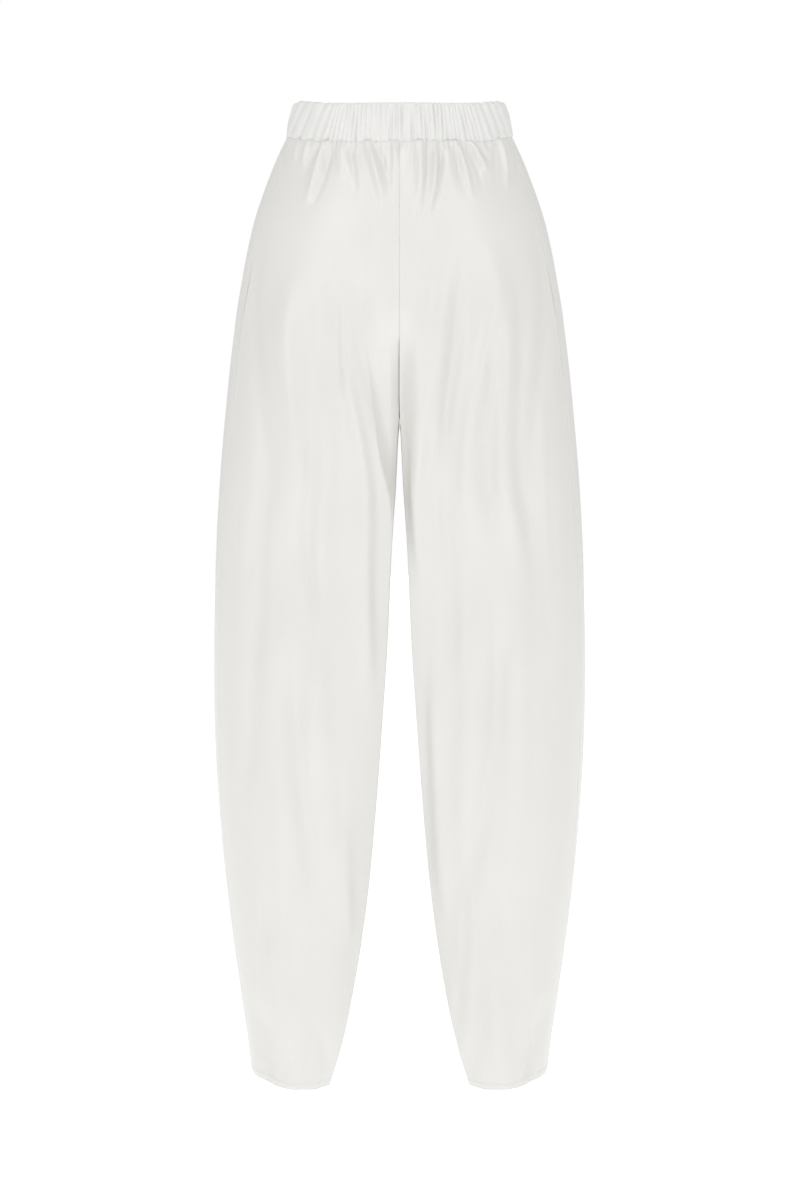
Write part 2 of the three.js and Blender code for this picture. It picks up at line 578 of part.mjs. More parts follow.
add("waistband", waistband(), bandCloth);
for (const [word, side] of [["left", 1], ["right", -1]]) {
  add(`front_${word}`, panel(side, true), satin);
  add(`back_${word}`, panel(side, false), satin);
  add(`pocket_bag_${word}`, pocketBag(side), pocketing);
}

export default shalwar;
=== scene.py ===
"""A pull-on shalwar in off-white satin, dressed for the eye: four cloth panels, a gathered waistband,
two pocket bags and their sewing. Metres, +Z up, the front faces -Y."""
import math
import random

import bpy
import numpy as np
from bpy.props import FloatProperty, FloatVectorProperty, IntProperty, PointerProperty
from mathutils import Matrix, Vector


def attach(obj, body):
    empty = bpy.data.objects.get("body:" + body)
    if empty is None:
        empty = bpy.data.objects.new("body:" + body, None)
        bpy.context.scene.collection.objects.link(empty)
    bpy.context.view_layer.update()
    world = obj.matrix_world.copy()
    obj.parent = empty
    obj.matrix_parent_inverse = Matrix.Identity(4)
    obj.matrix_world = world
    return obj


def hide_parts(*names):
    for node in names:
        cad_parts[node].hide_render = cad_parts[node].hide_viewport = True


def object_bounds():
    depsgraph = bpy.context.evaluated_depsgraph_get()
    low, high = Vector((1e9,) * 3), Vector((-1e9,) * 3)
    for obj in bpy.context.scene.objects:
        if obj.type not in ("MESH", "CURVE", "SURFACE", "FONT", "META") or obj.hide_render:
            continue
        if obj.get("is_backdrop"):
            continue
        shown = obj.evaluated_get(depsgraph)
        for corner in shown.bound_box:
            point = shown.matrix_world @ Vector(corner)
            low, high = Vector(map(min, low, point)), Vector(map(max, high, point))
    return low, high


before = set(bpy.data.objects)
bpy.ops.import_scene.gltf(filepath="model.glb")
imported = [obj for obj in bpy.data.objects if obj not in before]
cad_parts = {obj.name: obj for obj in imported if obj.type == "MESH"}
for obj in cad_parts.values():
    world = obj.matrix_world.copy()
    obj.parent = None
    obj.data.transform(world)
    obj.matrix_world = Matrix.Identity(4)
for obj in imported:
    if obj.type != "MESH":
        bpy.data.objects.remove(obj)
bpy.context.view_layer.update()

bl_info = {
    "name": "Satin shalwar",
    "version": (1, 0, 0),
    "blender": (4, 5, 0),
    "location": "3D View > Sidebar > Shalwar",
    "description": "Builds a pull-on shalwar with a gathered waistband",
    "category": "Add Mesh",
}

MM = 0.001

# The photograph: its size in pixels, its scale and the row where the waistband starts
PHOTO = (800, 1200)
MM_PER_PIXEL = 1.05
TOP_ROW = 100

# Levels in millimetres from the middle of the waistband
BAND_TOP = 20
WAIST_SEAM = -20
POCKET_TOP = -150
POCKET_LOW = -302
SPLIT_TOP = -195  # where the centre seam starts to turn under
CROTCH = -311
CROTCH_ROW_OUTER = -300  # the row of points from the crotch ends here at the side
HEM_INNER = -1012
HEM_OUTER = -1002
LEG_LENGTH = CROTCH - HEM_INNER

# The form of the hips and legs. A pair holds the values at the crotch and at the hem.
HALF_GAP = 0.15  # half the space between two solids at a seam
CLOTH_GAP = HALF_GAP * 0.3  # and half that between two dressed panels
CROTCH_DEPTH = 113  # how far ahead of the middle the cloth lies at the crotch
SEAM_BEND = 30  # how squarely the centre seam turns under
OUTER_BEND = 0.86  # below 1, a leg's outer half is fuller than an ellipse
INNER_FALL = (0.14, 0.45)  # how much of its depth a leg loses towards its inner edge
INNER_REACH = 0.45  # how far across the leg it does so
INNER_TURN = (0.0018, 0.05)  # the round of the inner edge, as a share of the leg's width
INNER_HOLLOW = 2.6  # how far the wall between a leg's front and back lies behind their edges
LIP = 1.6  # the round of those edges
TOUCH = 7  # the legs' front edges touch down to this far below the crotch
FRONT_DIP = 16  # how much lower the waist is at the front
DIP_DEPTH = 88  # how far ahead of the middle it is that low
DIP_LOW = -160  # the level where the dip has gone
ALLOWANCE = 3.0  # how far the panels run up inside the waistband
HEM_STITCH = 7.5  # how far the hem's stitches lie above its edge

# The waist: half its width at the seam, and half the width and depth where ribs are set out
WAIST_HALF = 119
RIB_OVAL = (117, 88)

# The dressed folds are this much bolder or wider than the tables
GATHER_STRENGTH = 2.0
TROUGH_STRENGTH = 1.05
GATHER_WIDTH = 0.9
DRAPE_STRENGTH = 1.5
DRAPE_WIDTH = 1.15

# Pocket bags: levels, reach each way from the side seam as a share of the half round, the share of
# it at the top, and the distance behind the panels at the seam and away from it
BAG = {"top": -138, "low": -372, "ahead": 0.34, "behind": 0.1, "narrow": 0.62, "clear": (0.4, 5.8)}
SOLID_WALL = 1.2  # the panels' thickness in the solids
STITCH_SHARE = 0.62  # a stitch's length as a share of the pitch

# Lights: name, place and size in metres, and power as a share of the main one
LIGHTS = (
    ("soft_box_left", (-1.7, -2.2, 1.1), 1.1, 1.0),
    ("soft_box_right", (1.8, -2.2, 1.0), 1.1, 0.78),
    ("soft_box_top", (0, -1.3, 1.3), 0.9, 0.72),
)
SENSOR = 36  # the camera's sensor, in millimetres
CAMERA_ASIDE = 0.0005  # the object stands half a pixel off the photograph's middle

# The outside of the cloth, level by level: half widths, the depths of the hips and of a leg at the
# front and back, the middle of the depth, and how far round from the front the side seam lies
COLUMNS = ("z", "out", "inner", "belly", "seat", "shin", "calf", "mid", "side")
SECTIONS = (
    (-20, 119, 0, 88, 92, 88, 92, 0, 0.76),
    (-60, 136, 0, 100, 108, 98, 104, 1, 0.77),
    (-110, 153, 0, 109, 124, 106, 116, 2, 0.78),
    (-170, 165.5, 0, 114, 135, 111, 125, 3, 0.79),
    (-240, 175.5, 0, 115, 137, 113, 127, 4, 0.815),
    (-311, 182.8, 0.4, 113, 130, 112, 122, 5, 0.835),
    (-380, 188.5, 3.7, 110, 122, 110, 116, 6, 0.85),
    (-460, 192.7, 8.8, 108, 115, 108, 111, 7, 0.86),
    (-560, 194.9, 13.2, 106, 108, 106, 107, 8, 0.865),
    (-650, 193.8, 19.2, 102, 103, 102, 103, 9, 0.87),
    (-740, 188.2, 26, 97, 97, 97, 97, 10, 0.88),
    (-820, 180.1, 34.1, 89, 90, 89, 90, 10, 0.89),
    (-900, 169.2, 46, 79, 80, 79, 80, 10, 0.9),
    (-960, 160.3, 58.5, 69, 71, 69, 71, 10, 0.91),
    (-1012, 153.5, 73.5, 59, 62, 59, 62, 10, 0.92),
)
TABLE = {name: np.array([row[i] for row in SECTIONS], float) for i, name in enumerate(COLUMNS)}

# Folds: x at the top, the middle and the end, the top, the end, half the width and the rise.
# Gathers start at the waist seam.
FRONT_GATHERS = (
    ((-105, -107, -110), -48, 4.5, 1.7),
    ((-94, -97, -100), -50, 4, 1.8),
    ((-84, -92, -99), -67, 3.6, -2.2),
    ((-76, -86, -99), -99, 5, 3.2),
    ((-68, -78, -91), -102, 3.8, -3),
    ((-59, -58.5, -57.5), -66, 5.5, 1.8),
    ((-51, -46, -43), -99, 3.6, -2.6),
    ((-33, -20.5, -14), -120, 4.4, 3),
    ((-26, -14, -7), -91, 3.4, -2.4),
    ((-5, -4, -3), -62, 4, 1.4),
    ((20.5, 21, 12), -144, 5.5, 2.8),
    ((28, 26, 20), -118, 3.2, -2.6),
    ((36, 34, 23), -140, 3.4, 2.4),
    ((41, 38, 19), -145, 3, -2.8),
    ((48, 49, 52), -85, 7.5, 2),
    ((55, 62.5, 67), -88, 3.4, -2.6),
    ((57, 67, 75), -92, 4.2, 2.8),
    ((69, 80, 84), -81, 3.4, -2.4),
    ((72, 82, 94), -56, 4, 2.6),
    ((79, 87, 96), -45, 3.4, -2),
    ((103, 109, 109), -81, 4.4, 2.6),
)
BACK_GATHERS = (
    ((-104, -109, -112), -66, 4.4, 2.2),
    ((-93, -99, -104), -92, 3.8, -2.4),
    ((-82, -88, -93), -78, 4.4, 2.8),
    ((-70, -74, -77), -104, 3.8, -2.6),
    ((-60, -65, -72), -128, 5, 3),
    ((-48, -50, -51), -84, 3.8, -2.4),
    ((-37, -36, -31), -112, 4.4, 2.6),
    ((-25, -22, -16), -90, 3.6, -2.6),
    ((-13, -12, -9), -136, 4.4, 2.4),
    ((11, 14, 15), -98, 4.4, 2.2),
    ((22, 20, 14), -122, 3.6, -2.8),
    ((33, 35, 38), -80, 4.4, 2.6),
    ((44, 48, 50), -108, 3.8, -2.6),
    ((56, 62, 70), -132, 5, 3.2),
    ((67, 72, 75), -86, 3.6, -2.2),
    ((79, 86, 95), -100, 4.4, 2.8),
    ((91, 96, 99), -72, 3.8, -2.4),
    ((103, 108, 112), -84, 4.4, 2.4),
)
FRONT_DRAPES = (
    ((-50, -33, -12), -140, -372, 12, -4.5),
    ((-55, -35, -32), -156, -631, 12, 4),
    ((-101, -107, -101), -150, -463, 14, 3.5),
    ((-68, -63, -59), -164, -300, 8, -2.5),
    ((-76, -75, -70), -221, -526, 10, 2.5),
    ((-92, -92, -85), -295, -510, 8, -2.5),
    ((-127, -121, -113), -463, -820, 16, 4),
    ((-115, -102, -86), -526, -825, 10, -3),
    ((-144, -150, -153), -484, -715, 10, -2),
    ((-76, -81, -73), -463, -705, 12, 2),
    ((-57, -59, -54), -715, -862, 10, 2),
    ((-134, -122, -111), -825, -990, 11, 3),
    ((-151, -138, -125), -905, -1012, 9, -2.5),
    ((72, 55, 52), -130, -380, 11, -4),
    ((53, 50, 55), -337, -589, 9, -2.5),
    ((32, 29, 26), -111, -232, 7, -2.2),
    ((42, 23, 26), -158, -505, 13, 3),
    ((92, 75, 77), -135, -463, 10, 3.5),
    ((76, 70, 58), -440, -799, 13, 2.5),
    ((92, 103, 122), -137, -490, 11, 3.5),
    ((123, 116, 102), -450, -883, 14, 4),
    ((91, 92, 92), -225, -445, 8, -3),
    ((108, 92, 72), -500, -820, 10, -3.5),
    ((114, 120, 134), -179, -505, 10, -2),
    ((99, 98, 105), -815, -1014, 12, 3),
    ((153, 140, 126), -905, -1012, 9, -2.5),
    ((34, 42, 53), -547, -851, 11, 2.5),
)
BACK_DRAPES = (
    ((-40, -34, -18), -170, -380, 12, -4.5),
    ((-70, -58, -49), -210, -560, 13, 4),
    ((-104, -96, -92), -230, -500, 9, -3),
    ((-128, -122, -118), -190, -640, 14, 3.5),
    ((-88, -84, -90), -450, -760, 12, 3),
    ((-62, -66, -70), -540, -800, 10, -2.5),
    ((-124, -118, -108), -660, -960, 13, 3),
    ((-90, -96, -102), -800, -1010, 10, -2.5),
    ((38, 31, 16), -165, -372, 12, -4),
    ((64, 60, 52), -205, -600, 13, 4),
    ((94, 98, 90), -240, -470, 9, -3),
    ((122, 126, 120), -180, -600, 14, 3.5),
    ((92, 88, 84), -430, -790, 12, 3),
    ((66, 64, 72), -560, -840, 10, -2.5),
    ((128, 120, 112), -640, -940, 13, 3),
    ((92, 98, 104), -820, -1010, 10, -2.5),
)
# Small creases that only the eye needs
FRONT_CREASES = (
    ((-128, -137, -138), -85, -600, 12, -2.6),
    ((128, 137, 137), -85, -560, 12, -2.6),
    ((-5, -10, -17), -296, -322, 3, 0.6),
    ((-3, -7, -12), -306, -334, 3, 0.5),
    ((-12, -10, -8), -230, -312, 5, 1.2),
    ((15, 13, 16), -300, -420, 7, 1.2),
    ((114, 106, 98), -560, -900, 13, -2.2),
    ((-84, -88, -92), -540, -700, 12, 1.6),
    ((74, 82, 88), -560, -900, 14, 1.6),
    ((-112, -104, -98), -760, -960, 12, 1.6),
    ((-164, -171, -179), -160, -350, 6, 0.9),
    ((164, 171, 179), -160, -350, 6, 0.9),
    ((-92, -88, -86), -420, -520, 5, -1.2),
    ((-142, -132, -121), -945, -1004, 5, 0.8),
    ((-93, -99, -106), -925, -1006, 5, 0.8),
    ((142, 131, 121), -940, -1004, 5, 0.8),
    ((94, 100, 107), -930, -1006, 5, 0.8),
    ((-108, -107, -105), -880, -1070, 10, 2.6),
    ((-146, -139, -132), -925, -1070, 10, -1.8),
    ((-84, -80, -78), -940, -1070, 7, -1.7),
    ((108, 107, 105), -880, -1070, 10, 2.6),
    ((146, 139, 132), -925, -1070, 10, -1.8),
    ((84, 80, 78), -940, -1070, 7, -1.7),
)
BACK_CREASES = (
    ((-5, -11, -18), -300, -330, 2.8, -1.1),
    ((-4, -9, -16), -315, -364, 3, 1.2),
    ((6, 12, 20), -302, -338, 2.8, -1.1),
    ((4, 10, 17), -318, -360, 3, 1.2),
    ((-142, -132, -121), -940, -1003, 4, 1.5),
    ((142, 131, 121), -945, -1003, 4, 1.5),
    ((-94, -100, -107), -930, -1006, 4.5, 1.3),
    ((94, 100, 107), -925, -1006, 4.5, 1.3),
)

BAND = {
    "wall": 3.4, "out_top": 111.4, "out_low": 119.4, "front_top": 84, "front_low": 88.3,
    "back_top": 88, "back_low": 92.3, "edge": 3.2,
}


def clamp(value):
    return np.clip(value, 0.0, 1.0)


def mix(a, b, share):
    return a + (b - a) * share


def smooth(value):
    t = clamp(value)
    return t * t * (3 - 2 * t)


def bell(value):
    """1 at 0, falling away on both sides."""
    return np.exp(-(value**2))


def steps(points, axis=0):
    """The distances between neighbours along an axis of a grid of points."""
    return np.linalg.norm(np.diff(points, axis=axis), axis=-1)


def running(values):
    """Sums from the start, the first of them 0."""
    return np.concatenate([[0], np.cumsum(values)])


def section(name, z):
    """One column of the sections at levels z, on a smooth curve through the rows."""
    levels, values = TABLE["z"], TABLE[name]
    z = np.asarray(z, float)
    last = len(levels) - 1
    i = np.clip(np.searchsorted(-levels, -z, side="right") - 1, 0, last - 1)
    before, after = np.maximum(np.arange(last + 1) - 1, 0), np.minimum(np.arange(last + 1) + 1, last)
    slopes = (values[after] - values[before]) / (levels[after] - levels[before])
    span = levels[i + 1] - levels[i]
    t = clamp((z - levels[i]) / span)
    curve = (1 + 2 * t) * (1 - t) ** 2 * values[i] + t * t * (3 - 2 * t) * values[i + 1]
    return curve + span * (t * (1 - t) ** 2 * slopes[i] - t * t * (1 - t) * slopes[i + 1])


def round_legs(z):
    return smooth((-120 - z) / 280)


def parting(c, z):
    """0 where the section is one pair of hips and 1 where it is a leg of its own."""
    return mix(smooth((-215 - z) / 225), round_legs(z), smooth((c - 0.08) / 0.34))


def down_leg(z):
    return smooth((CROTCH - z) / (CROTCH - HEM_INNER))


def turned(g, z):
    """How much of its depth the cloth keeps next to the centre seam and the inseam."""
    kept = (1 - clamp((SPLIT_TOP - z) / (SPLIT_TOP - CROTCH)) ** SEAM_BEND) ** (1 / SEAM_BEND)
    near = 1 - np.minimum(1, g / mix(*INNER_TURN, down_leg(z)))
    return mix(np.sqrt(1 - near * near), 1, kept)


def wall_shift(g, z, span):
    """Moves the wall between a leg's front and back away from the gap, and squares its edges."""
    width = mix(*INNER_TURN, down_leg(z))
    near = 1 - np.minimum(1, g / width)
    back = INNER_HOLLOW * (1 - np.sqrt(1 - near * near)) - span * np.minimum(g, width * np.exp(
        -np.maximum(0, g - width) / 0.1))
    return back * smooth((CROTCH - z) / 5)


def leg_share(g, z):
    """A leg's depth as a share of its most, from its inner edge to its outer."""
    inner = 1 - mix(*INNER_FALL, down_leg(z)) * (1 - np.minimum(1, g / INNER_REACH)) ** 2
    return np.where(g > 0.5, (4 * np.maximum(0, g * (1 - g))) ** (OUTER_BEND / 2), inner)


def inner_edge(z):
    """The legs' front edges touch a little way below the crotch."""
    apart = smooth((CROTCH - TOUCH - z) / TOUCH)
    return mix(HALF_GAP, np.maximum(HALF_GAP, section("inner", z)), apart)


def bare(w, z):
    """Points of the left half with no folds, w from 0 at the front centre to 2 at the back centre."""
    c = np.where(w <= 1, w, 2 - w)
    ahead = w <= 1
    s = parting(c, z)
    g = across(c, z)
    inner = inner_edge(z)
    belly = np.where(ahead, section("belly", z), section("seat", z))
    shin = np.where(ahead, section("shin", z), section("calf", z))
    hips = np.sqrt(np.maximum(0, 1 - g * g)) * belly
    depth = mix(hips, leg_share(g, z) * shin, s) * turned(g, z)
    span = section("out", z) - inner
    x = inner + span * g
    lip = 1 - clamp((x - inner) / LIP)
    x = x + wall_shift(g, z, span)
    depth = depth - LIP * (1 - np.sqrt(1 - lip * lip)) * smooth((CROTCH - z) / 12) * turned(g, z)
    return np.stack([x, section("mid", z) + np.where(ahead, -depth, depth), z], -1)


def half_round(z, ahead):
    out = section("out", z)
    width = (out - inner_edge(z)) / 2
    hips = np.pi / 2 * np.hypot(out, section("belly" if ahead else "seat", z)) * math.sqrt(0.5)
    leg = np.pi * np.hypot(width, section("shin" if ahead else "calf", z)) * math.sqrt(0.5)
    return mix(hips, leg, round_legs(z))


def across(c, z):
    """How far across the front view, from the inner edge to the outer, a share c of the half reaches."""
    return mix(np.sin(np.pi * c / 2), (1 - np.cos(np.pi * c)) / 2, parting(c, z))


def unrolled(x, z, ahead):
    """How far round the cloth a point of the front or back view lies."""
    inner = inner_edge(z)
    g = clamp((abs(x) - inner) / (section("out", z) - inner))
    c, step = 0.0, 0.5
    while step > 1e-6:
        if across(c + step, z) < g:
            c += step
        step /= 2
    return math.copysign(c, x) * half_round(z, ahead)


def outward(surface, w, z):
    """The unit vectors out of a surface that is a function of w and z."""
    dw, dz = 0.002, 0.4
    round_ = surface(np.minimum(2, w + dw), z) - surface(np.maximum(0, w - dw), z)
    up = surface(w, z + dz) - surface(w, z - dz)
    out = np.cross(round_, up)
    return out / np.maximum(1e-9, np.linalg.norm(out, axis=-1, keepdims=True))


def rib_valleys(seed):
    """The lines all round where the band is drawn in, each with its angle from the front centre, its
    depth, half its width, its slant and a number of its own. They are broad and slanting at the sides."""
    pick = random.Random(seed)
    valleys, angle = [], 0.0
    while angle < 2 * math.pi - 0.02:
        sine, cosine = math.sin(angle), math.cos(angle)
        side = float(smooth((abs(sine) - 0.6) / 0.16))
        pitch = mix(4.7, 7.2 / max(0.3, abs(cosine)), side) * pick.uniform(0.72, 1.3)
        arc = math.hypot(RIB_OVAL[0] * cosine, RIB_OVAL[1] * sine)
        lean = -7.5 * float(smooth((abs(sine) - 0.4) / 0.3)) / max(0.35, abs(cosine))
        slant = pick.uniform(-1.3, 1.3) + lean * math.copysign(1, sine * cosine)
        depth = pick.uniform(1.5, 2.7) * mix(1, 1.5, side)
        half = min(pitch * 0.27, 3.6)
        valleys.append((angle + 0.5 * pitch / arc, depth, half, slant / arc, pick.uniform(0, 6)))
        angle += pitch / arc
    return valleys


VALLEYS = rib_valleys(5)


def small_gathers(seed, ahead):
    """Short fine troughs that run on from the band's valleys into the panels."""
    pick = random.Random(seed)
    folds = []
    for angle, depth, half, slant, _ in VALLEYS:
        angle -= slant / 2
        if (math.cos(angle) > 0) != ahead:
            continue
        x = WAIST_HALF * math.sin(angle)
        fan = x / WAIST_HALF * pick.uniform(1, 12) + pick.uniform(-3, 3)
        low = WAIST_SEAM - pick.choice((12, 18, 26, 38, 55)) * pick.uniform(0.8, 1.3)
        folds.append(((x, x + fan * 0.4, x + fan), low, half * pick.uniform(1.0, 1.4),
                      -depth * pick.uniform(0.22, 0.5)))
    return tuple(folds)


def laid_out(fold, ahead, hangs):
    """A fold as a bowed line on the unrolled cloth."""
    xs = fold[0]
    top, low = (fold[1], fold[2]) if hangs else (WAIST_SEAM, fold[1])
    levels = np.array([top, (top + low) / 2, low], float)
    x0, x_mid, x1 = (float(unrolled(x, z, ahead)) for x, z in zip(xs, levels))
    run, fall = x1 - x0, low - top
    length = math.hypot(run, fall)
    bow = (x_mid - (x0 + x1) / 2) * (-fall / length)
    return {"x0": x0, "top": top, "run": run, "fall": fall, "length": length, "bow": bow,
            "half": fold[-2], "rise": fold[-1], "hangs": hangs}


def relief(w, z, side, ahead):
    """How far the folds lift the cloth, from one of the two tables."""
    x = side * np.where(w <= 1, w, 2 - w) * half_round(z, ahead)
    lift = np.zeros_like(x)
    for fold in FOLDS[ahead]:
        run, fall, length = fold["run"], fold["fall"], fold["length"]
        along = ((x - fold["x0"]) * run + (z - fold["top"]) * fall) / length**2
        aside = ((x - fold["x0"]) * -fall + (z - fold["top"]) * run) / length
        off = (aside - fold["bow"] * 4 * along * (1 - along)) / fold["half"]
        seam = 0.6 if fold["rise"] > 0 else 0.1
        start = smooth(along / 0.3) if fold["hangs"] else mix(seam, 1, smooth(along / 0.2))
        end = smooth((1 - along) / (0.3 if fold["hangs"] else 0.7))
        inside = (along < 1) & (along > -0.2)
        lift += np.where(inside, fold["rise"] * np.exp(-off * off) * start * end, 0)
    c = np.where(w <= 1, w, 2 - w)
    return lift * mix(smooth(c / 0.08), 1, smooth((z - CROTCH) / 25))


def streaks(seed):
    """Faint long ripples down the legs, between the larger folds."""
    pick = random.Random(seed)
    folds = []
    for _ in range(64):
        top = pick.uniform(-60, -860)
        low = max(-1008, top - pick.uniform(90, 260))
        reach = float(section("out", (top + low) / 2)) * 0.88
        inside = 6 if top > -300 else float(inner_edge(top)) + 12
        x = pick.choice((-1, 1)) * pick.uniform(inside, reach)
        lean = x / reach * pick.uniform(-6, 6)
        folds.append(((x - lean, x + pick.uniform(-3, 3), x + lean), top, low, pick.uniform(4.5, 9),
                      pick.choice((-1, 1)) * pick.uniform(0.25, 0.65)))
    return tuple(folds)


def fold_list(ahead):
    gathers = FRONT_GATHERS if ahead else BACK_GATHERS
    drapes = (FRONT_DRAPES + FRONT_CREASES) if ahead else (BACK_DRAPES + BACK_CREASES)
    main = tuple((xs, low, half * GATHER_WIDTH, rise * (GATHER_STRENGTH if rise > 0 else TROUGH_STRENGTH))
                 for xs, low, half, rise in gathers)
    hung = tuple((*fold[:-2], fold[-2] * DRAPE_WIDTH, fold[-1] * DRAPE_STRENGTH) for fold in drapes)
    hung += streaks(31 if ahead else 47)
    return ([laid_out(f, ahead, False) for f in main + small_gathers(7 if ahead else 19, ahead)]
            + [laid_out(f, ahead, True) for f in hung])


FOLDS = {True: fold_list(True), False: fold_list(False)}


def crotch_plane(points, side):
    """The inner front of the right leg falls back from a crease down to the crotch, and the left leg
    rolls in to meet it."""
    x, y, z = points[..., 0], points[..., 1], points[..., 2]
    if side < 0:
        edge = np.interp(-z, (215, 295, 358, 400), (40, 28, 20, 9))
        fall = 18 * clamp((edge - x) / edge) ** 0.8 * smooth((z + 440) / 75)
    else:
        fall = 16 * smooth((20 - x) / 20) * smooth((z + 510) / 170)
    return fall * smooth((-205 - z) / 75) * smooth((10 - y) / 60)


def dipped(points):
    """The waist is lower at the front than at the sides."""
    forward = smooth(-points[..., 1] / DIP_DEPTH)
    fade = smooth((points[..., 2] - DIP_LOW) / (WAIST_SEAM - DIP_LOW))
    moved = points.copy()
    moved[..., 2] -= FRONT_DIP * forward * fade
    return moved


# Mesh helpers
def added(name, data):
    """A new object in the scene."""
    obj = bpy.data.objects.new(name, data)
    bpy.context.scene.collection.objects.link(obj)
    return obj


def make_mesh(name, points, faces, uvs=None):
    """A named mesh object in metres, from points in millimetres."""
    mesh = bpy.data.meshes.new(name)
    mesh.from_pydata((points * MM).tolist(), [], faces.tolist() if hasattr(faces, "tolist") else faces)
    if uvs is not None:
        layer = mesh.uv_layers.new(name="cloth")
        corners = np.empty(len(mesh.loops), dtype=np.int32)
        mesh.loops.foreach_get("vertex_index", corners)
        layer.data.foreach_set("uv", uvs[corners].astype(np.float32).ravel())
    mesh.polygons.foreach_set("use_smooth", [True] * len(mesh.polygons))
    mesh.validate()
    return added(name, mesh)


def grid_normals(points):
    """Normals of a grid of points: rows go down and columns go round."""
    out = np.cross(np.gradient(points, axis=0), np.gradient(points, axis=1))
    return out / np.maximum(1e-9, np.linalg.norm(out, axis=-1, keepdims=True))


def shell(name, outer, inner, uvs, flipped):
    """A closed thin shell between an outer and an inner grid of points."""
    rows, columns = outer.shape[:2]
    at = np.arange(rows * columns).reshape(rows, columns)
    inside = at + rows * columns

    def quads(a, b, c, d):
        return np.stack([a.ravel(), b.ravel(), c.ravel(), d.ravel()], -1)

    parts = [
        quads(at[:-1, :-1], at[1:, :-1], at[1:, 1:], at[:-1, 1:]),
        quads(inside[:-1, :-1], inside[:-1, 1:], inside[1:, 1:], inside[1:, :-1]),
        quads(at[:-1, 0], inside[:-1, 0], inside[1:, 0], at[1:, 0]),
        quads(at[:-1, -1], at[1:, -1], inside[1:, -1], inside[:-1, -1]),
        quads(at[0, :-1], at[0, 1:], inside[0, 1:], inside[0, :-1]),
        quads(at[-1, :-1], inside[-1, :-1], inside[-1, 1:], at[-1, 1:]),
    ]
    faces = np.concatenate(parts)
    if flipped:
        faces = faces[:, ::-1]
    points = np.concatenate([outer.reshape(-1, 3), inner.reshape(-1, 3)])
    both = np.concatenate([uvs.reshape(-1, 2), uvs.reshape(-1, 2)])
    return make_mesh(name, points, faces, both)


def spread(count, start_dense, end_dense):
    """Shares from 0 to 1, closer together near the ends."""
    t = np.linspace(0, 1, count)
    pace = 1 - start_dense * np.exp(-t / 0.04) - end_dense * np.exp(-(1 - t) / 0.04)
    total = running((pace[1:] + pace[:-1]) / 2)
    return total / total[-1]


# Cloth panels
HIP_SHARES = np.concatenate([np.linspace(0, 0.3, 46)[:-1], np.linspace(0.3, 1, 70)])
LEG_SHARES = np.concatenate([np.linspace(0, 0.85, 76)[1:-1], np.linspace(0.85, 1, 34)])


def row_levels():
    """Levels of each row at the centre or inseam and at the side, the row's share down a leg, and
    whether it is above the crotch. The first rows follow the centre seam's own length."""
    turn = np.linspace(0, math.pi / 2, 1200)
    curve = SPLIT_TOP + (CROTCH - SPLIT_TOP) * np.sin(turn) ** (2 / SEAM_BEND)
    depth = CROTCH_DEPTH * np.cos(turn).clip(0) ** (2 / SEAM_BEND)
    top = WAIST_SEAM - 0.1
    lengths = running(np.concatenate([[top - SPLIT_TOP], np.hypot(np.diff(curve), np.diff(depth))]))
    curve = np.concatenate([[top], curve])
    rows = [(WAIST_SEAM + ALLOWANCE, WAIST_SEAM + ALLOWANCE, 0.0, True)]
    for share in HIP_SHARES:
        inner = float(np.interp(share * lengths[-1], lengths, curve))
        rows.append((inner, mix(top, CROTCH_ROW_OUTER, share), 0.0, share < 1))
    for share in LEG_SHARES:
        rows.append((mix(CROTCH, HEM_INNER, share), mix(CROTCH_ROW_OUTER, HEM_OUTER, share), share, False))
    return np.array(rows)


ROWS = row_levels()


def level_at(rows, c):
    hips = smooth(c / 0.6)
    leg = (1 - np.cos(np.pi * c)) / 2
    corners = 0.5 + 4.4 * smooth((c - 0.55) / 0.4) + 5.6 * smooth((0.3 - c) / 0.3)
    level = mix(rows[:, 0:1], rows[:, 1:2], mix(hips, leg, rows[:, 2:3]))
    return level + corners * smooth((rows[:, 2:3] - 0.8) / 0.2)


def pocket_gape(z, widest):
    """The mouth stands open at its top, and its lips meet again lower down."""
    along = clamp((POCKET_TOP - z) / 60)
    return widest * np.sqrt(np.sin(np.pi * along).clip(0))


